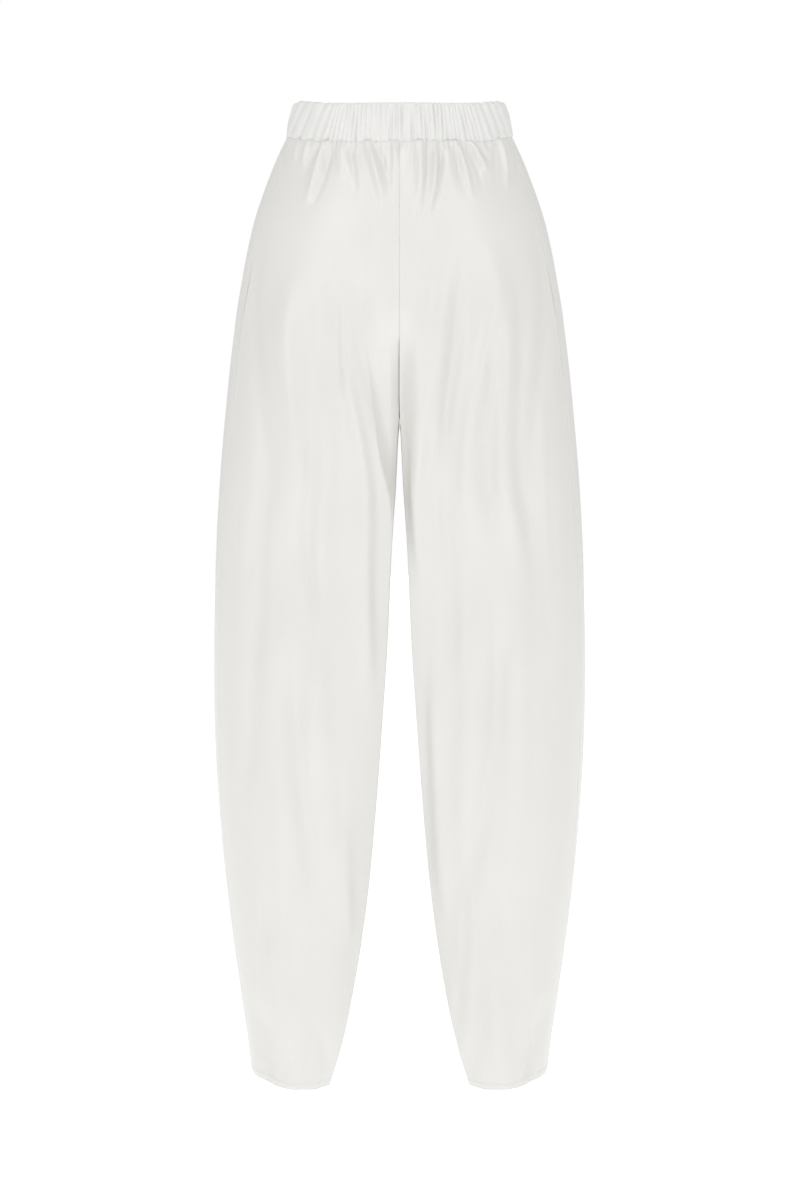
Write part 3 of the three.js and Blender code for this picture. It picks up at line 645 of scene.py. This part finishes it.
def panel_grid(side, ahead, sizes):
    """The outer and inner faces of one panel, with its unrolled coordinates in metres."""
    columns = sizes.panel_columns
    share = spread(columns, 0.82, 0.82)[None, :]
    rows = ROWS
    seam = section("side", rows[:, 1:2])
    w = seam * share if ahead else mix(seam, 2.0, share)
    c = np.where(w <= 1, w, 2 - w)
    z = level_at(rows, c)
    lead = half_round(z, ahead)
    # distances along the cloth from the side seam and from the centre seam or inseam
    from_side = np.abs(w - seam) * lead
    from_centre = c * lead if ahead else (2 - w) * lead
    gap = np.zeros_like(w)
    gap[:, -1 if ahead else 0] = 0.05
    shift = (pocket_gape(z, sizes.pocket_gape / MM) * np.exp(-from_side / 5)) if ahead else 0
    w = w + (-1 if ahead else 1) * (gap + shift) / lead
    w = np.clip(w, 0, 2)
    points = bare(w, z)
    out = outward(bare, w, z)
    lift = relief(w, z, side, ahead)
    if not ahead:
        lift = np.where(w < 1, relief(w, z, side, True), lift)
    lift = lift * smooth(np.abs(w - 1) / 0.12)
    # the seams are drawn in a little, and pucker unevenly along their length
    length = -z
    pucker = 1 + 0.35 * np.sin(length / 7.3 + side) + 0.25 * np.sin(length / 3.1 + 2 * side)
    depth = sizes.seam_depth / MM
    open_mouth = (z < POCKET_TOP) & (z > POCKET_LOW)
    lift = lift - depth * bell(from_side / 1.6) * np.where(open_mouth, 0.4, pucker)
    # the centre seam lies flat where the legs part, or its dent would open a slot there
    sewn = pucker * np.maximum(smooth((z - CROTCH - 26) / 24), smooth((CROTCH - 19 - z) / 20))
    lift = lift - depth * bell(from_centre / 1.5) * sewn
    lift = lift + 0.22 * bell((from_centre - 4.5) / 2.2) * sewn
    down = clamp((POCKET_TOP - z) / (POCKET_TOP - POCKET_LOW))
    lip = bell(from_side / 4) * np.where(open_mouth, np.sin(np.pi * down), 0)
    lift = lift + (0.5 if ahead else 0.9) * lip
    # the hem's stitching line
    hem = (rows[:, 2:3] - 1) * LEG_LENGTH
    lift = lift - 0.28 * bell((hem + HEM_STITCH) / 1.1) * (1 + 0.4 * np.sin(lead * w / 2.9))
    lift = lift + 0.25 * smooth((hem + HEM_STITCH) / 2) - 0.5 * smooth((hem + 1.2) / 1.2)
    # the top edge turns in under the waistband
    top = WAIST_SEAM - z
    angle = side * np.pi / 2 * w % (2 * np.pi)
    lift = lift + 0.55 * ribs(angle, 0.0) * bell(top / 7) - 0.5 * bell(top / 1.6)
    lift = lift - 3.9 * smooth(-top / ALLOWANCE * 2)
    back = crotch_plane(points, side) if ahead else 0
    points = points + out * lift[..., None]
    points[..., 1] += back
    points[0, :, 2] = z[0]
    points[-1, :, 2] = z[-1]
    points[..., 0] = np.maximum(CLOTH_GAP, points[..., 0])
    centre = 0 if ahead else -1
    hips = rows[:, 3] > 0
    points[hips, centre, 0] = CLOTH_GAP
    points[~hips, centre, 1] += (-1 if ahead else 1) * CLOTH_GAP
    points = dipped(points)
    normals = grid_normals(points)
    if side < 0:
        points[..., 0] *= -1
        normals[..., 0] *= -1
    thick = np.full(w.shape, sizes.cloth_thickness / MM)
    thick = thick + 0.5 * smooth((hem + 9) / 1.5) + 0.5 * np.exp(-((from_side / 9) ** 4))
    inner = points - normals * thick[..., None]
    inner[..., 0] = side * np.maximum(CLOTH_GAP, side * inner[..., 0])
    along = running(steps(points.mean(axis=1)))
    uvs = np.stack([w * lead * MM, np.broadcast_to(along[:, None] * MM, w.shape)], -1)
    return points, inner, uvs


# Waistband
def oval(angle, z, away):
    up = (z - WAIST_SEAM) / (BAND_TOP - WAIST_SEAM)
    ahead = np.cos(angle) > 0
    half = mix(BAND["out_low"], BAND["out_top"], up) + away
    front = mix(BAND["front_low"], BAND["front_top"], up)
    back = mix(BAND["back_low"], BAND["back_top"], up)
    depth = np.where(ahead, front, back) + away
    corner = clamp((np.abs(np.sin(angle)) - 0.88) / 0.12) ** 2
    raised = z + up * (1.8 * smooth(np.cos(angle)) - 4.5 * corner * smooth((up - 0.4) / 0.6))
    return dipped(np.stack([half * np.sin(angle), -depth * np.cos(angle), raised], -1))


def ribs(angle, up):
    """How far the ribs fall back between their crests, for angles all round at one level."""
    fall = np.zeros_like(angle)
    arc = np.hypot(RIB_OVAL[0] * np.cos(angle), RIB_OVAL[1] * np.sin(angle))
    for centre, depth, half, slant, own in VALLEYS:
        off = (angle - centre - slant * (up - 0.5) + np.pi) % (2 * np.pi) - np.pi
        near = np.abs(off * arc) < 4 * half
        strength = depth * (0.72 + 0.34 * math.sin(own + 3.6 * up))
        fall[near] -= strength * bell(off[near] * arc[near] / half)
    return fall


def band_grid(sizes):
    """A closed tube round the waist: up the outside, over the top and down the inside."""
    angle = np.linspace(0, 2 * np.pi, sizes.band_columns, endpoint=False)
    low, high, edge = WAIST_SEAM, BAND_TOP - 1.4, BAND["edge"]
    height = high - low
    grid = []
    for share in np.concatenate([np.linspace(0, 0.12, 9)[:-1], np.linspace(0.12, 1, 20)]):
        z = low + share * (height - edge)
        up = (z - low) / height
        swell = 0.5 * math.sin(math.pi * min(1, up * 1.1))
        tuck = -1.2 * math.exp(-(((z - low) / 2.4) ** 2))
        wander = 0.25 * np.sin(angle * 23 + up * 4) + 0.2 * np.sin(angle * 41 - up * 5)
        grid.append(oval(angle, np.full(angle.shape, z), ribs(angle, up) + swell + tuck + wander + 0.4))
    crest = ribs(angle, 1.0)
    for turn in np.linspace(0.25, math.pi / 2, 7):
        z = high - edge + edge * math.sin(turn)
        away = crest * mix(1, 0.5, turn / 1.57) + 0.4 - BAND["wall"] * 0.5 * (1 - math.cos(turn))
        grid.append(oval(angle, z + crest * 0.35 * math.sin(turn) ** 2, away))
    inside = ribs(angle, 0.4)
    for share in np.linspace(0.06, 1, 12):
        z = mix(high - 0.5, low, share)
        away = -BAND["wall"] - inside * 0.35 * min(1, share * 4)
        grid.append(oval(angle, np.full(angle.shape, z), away))
    return np.array(grid)


def closed_tube(name, grid, uvs):
    """A ring-shaped closed skin: its first and last rows are joined."""
    rows, columns = grid.shape[:2]
    at = np.arange(rows * columns).reshape(rows, columns)
    below = np.roll(at, -1, axis=0)
    beside = np.roll(at, -1, axis=1)
    across = np.roll(below, -1, axis=1)
    faces = np.stack([at.ravel(), beside.ravel(), across.ravel(), below.ravel()], -1)
    return make_mesh(name, grid.reshape(-1, 3), faces, uvs.reshape(-1, 2))


# Materials
class Socket:
    """Wraps a node socket, so that shader maths reads as maths."""

    def __init__(self, nodes, socket):
        self.nodes, self.socket = nodes, socket

    def _maths(self, operation, *values):
        return self.nodes.add("ShaderNodeMath", {"operation": operation}, dict(enumerate(values)))

    def __add__(self, other):
        return self._maths("ADD", self, other)

    __radd__ = __add__

    def __sub__(self, other):
        return self._maths("SUBTRACT", self, other)

    def __rsub__(self, other):
        return self._maths("SUBTRACT", other, self)

    def __mul__(self, other):
        return self._maths("MULTIPLY", self, other)

    __rmul__ = __mul__

    def between(self, low, high):
        """0 below low, 1 above high."""
        sockets = {0: self, 1: low, 2: high}
        return self.nodes.add("ShaderNodeMapRange", {"interpolation_type": "SMOOTHSTEP"}, sockets)


class Nodes:
    """The node tree of one material."""

    def __init__(self, material):
        material.use_nodes = True
        self.tree = material.node_tree
        self.tree.nodes.clear()

    def add(self, kind, settings=None, sockets=None, output=0):
        node = self.tree.nodes.new(kind)
        for name, value in (settings or {}).items():
            setattr(node, name, value)
        for name, value in (sockets or {}).items():
            target = node.inputs[name]
            if isinstance(value, Socket):
                self.tree.links.new(value.socket, target)
            else:
                target.default_value = value
        return Socket(self, node.outputs[output])

    def mix_colour(self, factor, a, b):
        return self.add("ShaderNodeMix", {"data_type": "RGBA"}, {0: factor, 6: a, 7: b}, output=2)

    def stretched(self, coordinates, scale):
        """Coordinates scaled differently each way."""
        return self.add("ShaderNodeVectorMath", {"operation": "MULTIPLY"}, {0: coordinates, 1: scale})

    def noise(self, coordinates, scale, detail):
        sockets = {"Vector": coordinates, "Scale": scale, "Detail": detail, "Roughness": 0.5}
        return self.add("ShaderNodeTexNoise", {}, sockets)

    def finish(self, constants, varied):
        """The shader: plain numbers go on its own sockets, and the rest is linked."""
        shader = self.add("ShaderNodeBsdfPrincipled", {}, {**constants, **varied})
        output = self.tree.nodes.new("ShaderNodeOutputMaterial")
        self.tree.links.new(shader.socket, output.inputs["Surface"])


def opaque(colour, share=1.0):
    """A colour with an alpha of 1, darkened to a share of itself."""
    return tuple(v * share for v in colour[:3]) + (1.0,)


def satin_material(name, light, dark, roughness, sheen, thread_height, matt=0.0):
    """Woven satin: long floats across, a faint slub, and a soft change of tone."""
    material = bpy.data.materials.new(name)
    nodes = Nodes(material)
    uv = nodes.add("ShaderNodeUVMap", {"uv_map": "cloth"})
    place = nodes.add("ShaderNodeTexCoord", output=3)
    broad = nodes.noise(place, 9.0, 2.0)
    floats = nodes.noise(nodes.stretched(uv, (2600.0, 420.0, 1.0)), 1.0, 2.0)
    slub = nodes.noise(nodes.stretched(uv, (60.0, 900.0, 1.0)), 1.0, 3.0)
    weave = nodes.add("ShaderNodeTexWave", {"wave_type": "BANDS", "bands_direction": "DIAGONAL"},
                      {"Vector": uv, "Scale": 900.0,
                       "Distortion": 1.2, "Detail": 1.0}, output=1)
    tone = broad * 0.55 + slub * 0.3 + floats * 0.15
    colour = nodes.mix_colour(tone.between(0.3, 0.7), dark, light)
    rough = roughness + (slub - 0.5) * 0.12 + (floats - 0.5) * (0.1 + matt)
    height = floats * 0.45 + slub * 0.25 + weave * 0.3
    bump = nodes.add("ShaderNodeBump", {}, {"Strength": 0.35, "Distance": thread_height, "Height": height})
    constants = {"Metallic": 0.0, "IOR": 1.46, "Sheen Weight": sheen, "Sheen Roughness": 0.4,
                 "Specular IOR Level": 0.9}
    nodes.finish(constants, {"Base Color": colour, "Roughness": rough, "Normal": bump})
    return material


def thread_material(name, colour):
    """Twisted sewing thread."""
    material = bpy.data.materials.new(name)
    nodes = Nodes(material)
    place = nodes.add("ShaderNodeTexCoord", output=3)
    ply = nodes.noise(place, 1500.0, 1.0)
    varied = {
        "Base Color": nodes.mix_colour(ply.between(0.35, 0.65), opaque(colour, 0.93), colour),
        "Roughness": 0.5 + (ply - 0.5) * 0.2,
    }
    nodes.finish({"Sheen Weight": 0.1}, varied)
    return material


def floor_material(name, colour, glow):
    material = bpy.data.materials.new(name)
    nodes = Nodes(material)
    place = nodes.add("ShaderNodeTexCoord", output=3)
    grain = nodes.noise(place, 3.0, 2.0)
    soft = nodes.mix_colour(grain, opaque(colour, 0.99), colour)
    constants = {"Roughness": 0.9, "Emission Color": (1, 1, 1, 1), "Emission Strength": glow}
    nodes.finish(constants, {"Base Color": soft})
    return material


MATERIALS = {}


def finish_for(name):
    if name not in MATERIALS:
        sizes = bpy.context.scene.shalwar_sizes
        tone, band = sizes.satin_colour, sizes.band_colour
        makers = {
            "satin": lambda: satin_material("satin", opaque(tone), opaque(tone, 0.975),
                                            sizes.satin_roughness, 0.12, 0.00012),
            "band_satin": lambda: satin_material("band_satin", opaque(band), opaque(band, 0.975),
                                                 0.5, 0.15, 0.00014),
            "pocketing": lambda: satin_material("pocketing", (0.78, 0.78, 0.76, 1),
                                                (0.75, 0.75, 0.73, 1), 0.75, 0.1, 0.0002, 0.1),
            "thread": lambda: thread_material("thread", (0.8, 0.8, 0.785, 1)),
            "floor": lambda: floor_material("floor", (0.8, 0.8, 0.8, 1), sizes.floor_glow),
        }
        MATERIALS[name] = makers[name]()
    return MATERIALS[name]


def wear(obj, material):
    obj.data.materials.clear()
    obj.data.materials.append(finish_for(material))
    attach(obj, "root")


# Stitches
def stitch_tree():
    """A node group that sets stitches along a line, each a little rounded bar."""
    tree = bpy.data.node_groups.new("stitch row", "GeometryNodeTree")
    sockets = tree.interface
    sockets.new_socket("Line", in_out="INPUT", socket_type="NodeSocketGeometry")
    for label, value in (("Pitch", 0.003), ("Length", 0.0021), ("Thickness", 0.00032)):
        socket = sockets.new_socket(label, in_out="INPUT", socket_type="NodeSocketFloat")
        socket.default_value = value
    sockets.new_socket("Material", in_out="INPUT", socket_type="NodeSocketMaterial")
    sockets.new_socket("Stitches", in_out="OUTPUT", socket_type="NodeSocketGeometry")
    start = tree.nodes.new("NodeGroupInput")
    end = tree.nodes.new("NodeGroupOutput")

    def node(kind, links, **settings):
        made = tree.nodes.new(kind)
        for name, value in settings.items():
            setattr(made, name, value)
        for name, source in links.items():
            if hasattr(source, "outputs"):
                source = source.outputs[0]
            if hasattr(source, "is_output"):
                tree.links.new(source, made.inputs[name])
            else:
                made.inputs[name].default_value = source
        return made

    def maths(operation, *values):
        return node("ShaderNodeMath", dict(enumerate(values)), operation=operation)

    length = start.outputs["Length"]
    curve = node("GeometryNodeMeshToCurve", {"Mesh": start.outputs["Line"]})
    points = node("GeometryNodeCurveToPoints", {"Curve": curve, "Length": start.outputs["Pitch"]},
                  mode="LENGTH")
    bar = node("GeometryNodeMeshCylinder", {"Vertices": 6, "Side Segments": 3, "Depth": length,
                                            "Radius": start.outputs["Thickness"]})
    # a bar is thinner towards its ends
    x, y, z = node("ShaderNodeSeparateXYZ", {"Vector": node("GeometryNodeInputPosition", {})}).outputs
    along = maths("DIVIDE", z, length)
    narrow = maths("MULTIPLY_ADD", maths("MULTIPLY", along, along), -2.4, 1.0)
    place = node("ShaderNodeCombineXYZ", {"X": maths("MULTIPLY", x, narrow),
                                          "Y": maths("MULTIPLY", y, narrow), "Z": z})
    shaped = node("GeometryNodeSetPosition", {"Geometry": bar.outputs["Mesh"], "Position": place})
    turn = node("FunctionNodeAlignRotationToVector", {"Vector": points.outputs["Tangent"]}, axis="Z")
    rows = node("GeometryNodeInstanceOnPoints", {"Points": points.outputs["Points"],
                                                 "Instance": shaped, "Rotation": turn})
    real = node("GeometryNodeRealizeInstances", {"Geometry": rows})
    dressed = node("GeometryNodeSetMaterial", {"Geometry": real, "Material": start.outputs["Material"]})
    tree.links.new(dressed.outputs[0], end.inputs[0])
    return tree


def stitch_row(name, lines, pitch):
    """Stitches along lines of points in millimetres, as one plain mesh."""
    points = np.concatenate(lines) * MM
    edges, start = [], 0
    for line in lines:
        edges += [(start + i, start + i + 1) for i in range(len(line) - 1)]
        start += len(line)
    path = bpy.data.meshes.new(name + "_line")
    path.from_pydata(points.tolist(), edges, [])
    carrier = added(name + "_line", path)
    tree = bpy.data.node_groups.get("stitch row") or stitch_tree()
    modifier = carrier.modifiers.new("stitches", "NODES")
    modifier.node_group = tree
    values = {"Pitch": pitch, "Length": pitch * STITCH_SHARE, "Material": finish_for("thread")}
    for item in tree.interface.items_tree:
        if item.in_out == "INPUT" and item.name in values:
            modifier[item.identifier] = values[item.name]
    bpy.context.view_layer.update()
    evaluated = carrier.evaluated_get(bpy.context.evaluated_depsgraph_get())
    mesh = bpy.data.meshes.new_from_object(evaluated)
    mesh.name = name
    bpy.data.objects.remove(carrier)
    if not mesh.polygons:
        raise RuntimeError(f"{name} has no stitches")
    mesh.polygons.foreach_set("use_smooth", [True] * len(mesh.polygons))
    wear(added(name, mesh), "thread")


PANELS = {}


def length_property(name, description, default):
    return FloatProperty(name=name, description=description, default=default, unit="LENGTH")


class ShalwarSizes(bpy.types.PropertyGroup):
    """What a user would change."""

    cloth_thickness: length_property("Cloth thickness", "Wall of the satin", 0.7 * MM)
    seam_depth: length_property("Seam depth", "How far a seam is drawn in", 0.5 * MM)
    pocket_gape: length_property("Pocket gape", "How far a pocket's mouth stands open", 0.85 * MM)
    panel_columns: IntProperty(
        name="Columns", description="Columns of points across a panel", default=180, min=20)
    band_columns: IntProperty(
        name="Band columns", description="Columns of points round the waistband", default=1400, min=200)
    stitch_pitch: length_property("Stitch pitch", "From one stitch to the next", 3.0 * MM)
    satin_colour: FloatVectorProperty(
        name="Satin", description="Colour of the panels", subtype="COLOR", default=(0.737, 0.73, 0.702))
    band_colour: FloatVectorProperty(
        name="Waistband", description="Colour of the waistband", subtype="COLOR",
        default=(0.746, 0.742, 0.726))
    satin_roughness: FloatProperty(
        name="Roughness", description="Roughness of the satin", default=0.35, min=0, max=1)
    floor_drop: length_property("Floor", "How far the floor lies below the hems", 0.09)
    floor_glow: FloatProperty(
        name="Floor glow", description="How much light the white floor sends back", default=0.68)
    camera_distance: length_property("Camera distance", "From the waist to the camera", 2.65)
    camera_height: length_property("Camera height", "Height of the camera from the waist", -0.41)
    room_light: FloatProperty(
        name="Room light", description="Even light from all round", default=0.635)
    soft_box: FloatProperty(
        name="Soft box", description="Power of the main soft box in watts", default=8.5)


class SHALWAR_OT_panels(bpy.types.Operator):
    """Makes the four cloth panels"""

    bl_idname = "shalwar.panels"
    bl_label = "Panels"

    def execute(self, context):
        sizes = context.scene.shalwar_sizes
        for word, side in (("left", 1), ("right", -1)):
            for end, ahead in (("front", True), ("back", False)):
                outer, inner, uvs = panel_grid(side, ahead, sizes)
                name = f"{end}_panel_{word}"
                panel = shell(name, outer, inner, uvs, side < 0)
                wear(panel, "satin")
                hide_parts(f"{end}_{word}")
                PANELS[name] = outer
        return {"FINISHED"}


class SHALWAR_OT_waistband(bpy.types.Operator):
    """Makes the gathered waistband"""

    bl_idname = "shalwar.waistband"
    bl_label = "Waistband"

    def execute(self, context):
        grid = band_grid(context.scene.shalwar_sizes)
        around = np.linalg.norm(np.roll(grid[10], -1, axis=0) - grid[10], axis=-1)
        u = running(around)[:-1] * MM
        v = running(steps(grid[:, 0])) * MM
        uvs = np.stack(np.broadcast_arrays(u[None, :], v[:, None]), -1)
        band = closed_tube("gathered_waistband", grid, uvs)
        wear(band, "band_satin")
        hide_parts("waistband")
        return {"FINISHED"}


class SHALWAR_OT_pocket_bags(bpy.types.Operator):
    """Makes the two pocket bags behind the side seams"""

    bl_idname = "shalwar.pocket_bags"
    bl_label = "Pocket bags"

    def execute(self, context):
        for word, side in (("left", 1), ("right", -1)):
            down = np.linspace(0, 1, 60)[:, None]
            z = mix(BAG["top"], BAG["low"], down)
            seam = section("side", z)
            reach = BAG["ahead"] * np.sqrt(1 - 0.9 * down**4) * mix(BAG["narrow"], 1, smooth(down * 2))
            share = np.linspace(-1, 1, 61)[None, :]
            w = seam + np.where(share < 0, reach * share, BAG["behind"] * share)
            z = np.broadcast_to(z, w.shape)
            out = outward(bare, w, z)
            ripple = 0.35 * np.sin(w * 31 + z / 19) + 0.2 * np.sin(z / 8 + w * 12)
            away = SOLID_WALL + mix(*BAG["clear"], smooth(np.abs(w - seam) / 0.11)) + 2 * HALF_GAP
            edge = np.minimum(1, np.minimum(down, 1 - down) * 12)
            outer = dipped(bare(w, z) - out * (away + 0.15 + ripple * edge * 0.5)[..., None])
            inner = dipped(bare(w, z) - out * (away + 1.25 + ripple * edge)[..., None])
            for grid in (outer, inner):
                grid[..., 0] *= side
            uvs = np.stack([w * 0.23, -z * MM], -1)
            bag = shell(f"pocket_bag_cloth_{word}", outer, inner, uvs, side < 0)
            wear(bag, "pocketing")
            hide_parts(f"pocket_bag_{word}")
        return {"FINISHED"}


class SHALWAR_OT_sewing(bpy.types.Operator):
    """Sets the rows of stitches at the hems and the pockets"""

    bl_idname = "shalwar.sewing"
    bl_label = "Sewing"

    def execute(self, context):
        sizes = context.scene.shalwar_sizes
        if not PANELS:
            raise RuntimeError("make the panels first")
        hem_row = len(ROWS) - 1 - int(np.argmin(np.abs((ROWS[::-1, 2] - 1) * LEG_LENGTH + HEM_STITCH)))
        for word, side in (("left", 1), ("right", -1)):
            lines = []
            for end in ("front", "back"):
                outer = PANELS[f"{end}_panel_{word}"]
                lines.append(outer[hem_row] + grid_normals(outer)[hem_row] * 0.05 * side)
            stitch_row(f"hem_stitches_{word}", lines, sizes.stitch_pitch)
        for word in ("left", "right"):
            outer = PANELS[f"front_panel_{word}"]
            z = outer[:, -1, 2]
            rows = np.where((z < POCKET_TOP + 2) & (z > POCKET_LOW - 2))[0]
            edge = outer[rows, -1]
            gaps = np.linalg.norm(outer[rows] - edge[:, None], axis=-1)
            nearest = np.argmin(np.abs(gaps - 5.0), axis=1)
            stitch_row(f"pocket_stitches_{word}", [outer[rows, nearest]], sizes.stitch_pitch)
        return {"FINISHED"}


class SHALWAR_OT_stage(bpy.types.Operator):
    """Makes the floor, the soft lights and the camera"""

    bl_idname = "shalwar.stage"
    bl_label = "Stage"

    def execute(self, context):
        scene, sizes = context.scene, context.scene.shalwar_sizes
        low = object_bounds()[0][2] - sizes.floor_drop
        count = 96
        turns = np.linspace(0, 2 * np.pi, count, endpoint=False)
        rings = [np.stack([r * np.cos(turns), r * np.sin(turns), 0 * turns], -1) for r in (0.5, 2, 6, 24)]
        points = np.concatenate(rings + [np.zeros((1, 3))])
        faces = [(k + i, k + count + i, k + count + (i + 1) % count, k + (i + 1) % count)
                 for k in (0, count, 2 * count) for i in range(count)]
        faces += [(i, (i + 1) % count, len(rings) * count) for i in range(count)]
        points[:, 2] = low
        floor = make_mesh("floor", points / MM, faces)
        floor.data.materials.append(finish_for("floor"))
        floor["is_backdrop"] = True
        self.lights(context, sizes)
        data = bpy.data.cameras.new("camera")
        height = PHOTO[1] * MM_PER_PIXEL * MM
        data.sensor_width = SENSOR
        data.lens = SENSOR * sizes.camera_distance / height
        camera = added("camera", data)
        scene.camera = camera
        camera.location = (CAMERA_ASIDE, -sizes.camera_distance, sizes.camera_height)
        camera.rotation_euler = (math.pi / 2, 0, 0)
        middle = (BAND_TOP - (PHOTO[1] / 2 - TOP_ROW) * MM_PER_PIXEL) * MM
        data.shift_y = (middle - sizes.camera_height) / height
        scene.view_settings.view_transform = "Standard"
        return {"FINISHED"}

    def lights(self, context, sizes):
        world = bpy.data.worlds.new("studio")
        context.scene.world = world
        world.use_nodes = True
        tree = world.node_tree
        tree.nodes.clear()
        seen = tree.nodes.new("ShaderNodeLightPath")
        both = tree.nodes.new("ShaderNodeMixShader")
        tree.links.new(seen.outputs["Is Camera Ray"], both.inputs[0])
        for place, strength in ((1, sizes.room_light), (2, 1.0)):
            light = tree.nodes.new("ShaderNodeBackground")
            light.inputs["Color"].default_value = (1, 1, 1, 1)
            light.inputs["Strength"].default_value = strength
            tree.links.new(light.outputs[0], both.inputs[place])
        out = tree.nodes.new("ShaderNodeOutputWorld")
        tree.links.new(both.outputs[0], out.inputs["Surface"])
        for name, place, size, share in LIGHTS:
            data = bpy.data.lights.new(name, "AREA")
            data.shape = "RECTANGLE"
            data.size, data.size_y = size * 0.7, size * 1.3
            data.energy = sizes.soft_box * share
            lamp = added(name, data)
            lamp.location = place
            aim = Vector((0, 0, -0.5)) - Vector(place)
            lamp.rotation_euler = aim.to_track_quat("-Z", "Y").to_euler()


OPERATORS = (SHALWAR_OT_panels, SHALWAR_OT_waistband, SHALWAR_OT_pocket_bags, SHALWAR_OT_sewing,
             SHALWAR_OT_stage)


class SHALWAR_PT_sidebar(bpy.types.Panel):
    """The pieces and their sizes"""

    bl_label = "Shalwar"
    bl_idname = "SHALWAR_PT_sidebar"
    bl_space_type = "VIEW_3D"
    bl_region_type = "UI"
    bl_category = "Shalwar"

    def draw(self, context):
        sizes = context.scene.shalwar_sizes
        for name in ShalwarSizes.__annotations__:
            self.layout.prop(sizes, name)
        for operator in OPERATORS:
            self.layout.operator(operator.bl_idname)


CLASSES = (ShalwarSizes, *OPERATORS, SHALWAR_PT_sidebar)


def register():
    for item in CLASSES:
        bpy.utils.register_class(item)
    bpy.types.Scene.shalwar_sizes = PointerProperty(type=ShalwarSizes)


def unregister():
    del bpy.types.Scene.shalwar_sizes
    for item in reversed(CLASSES):
        bpy.utils.unregister_class(item)


def main():
    register()
    for operator in OPERATORS:
        group, name = operator.bl_idname.split(".")
        getattr(getattr(bpy.ops, group), name)()
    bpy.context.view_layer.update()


if __name__ == "__main__":
    main()
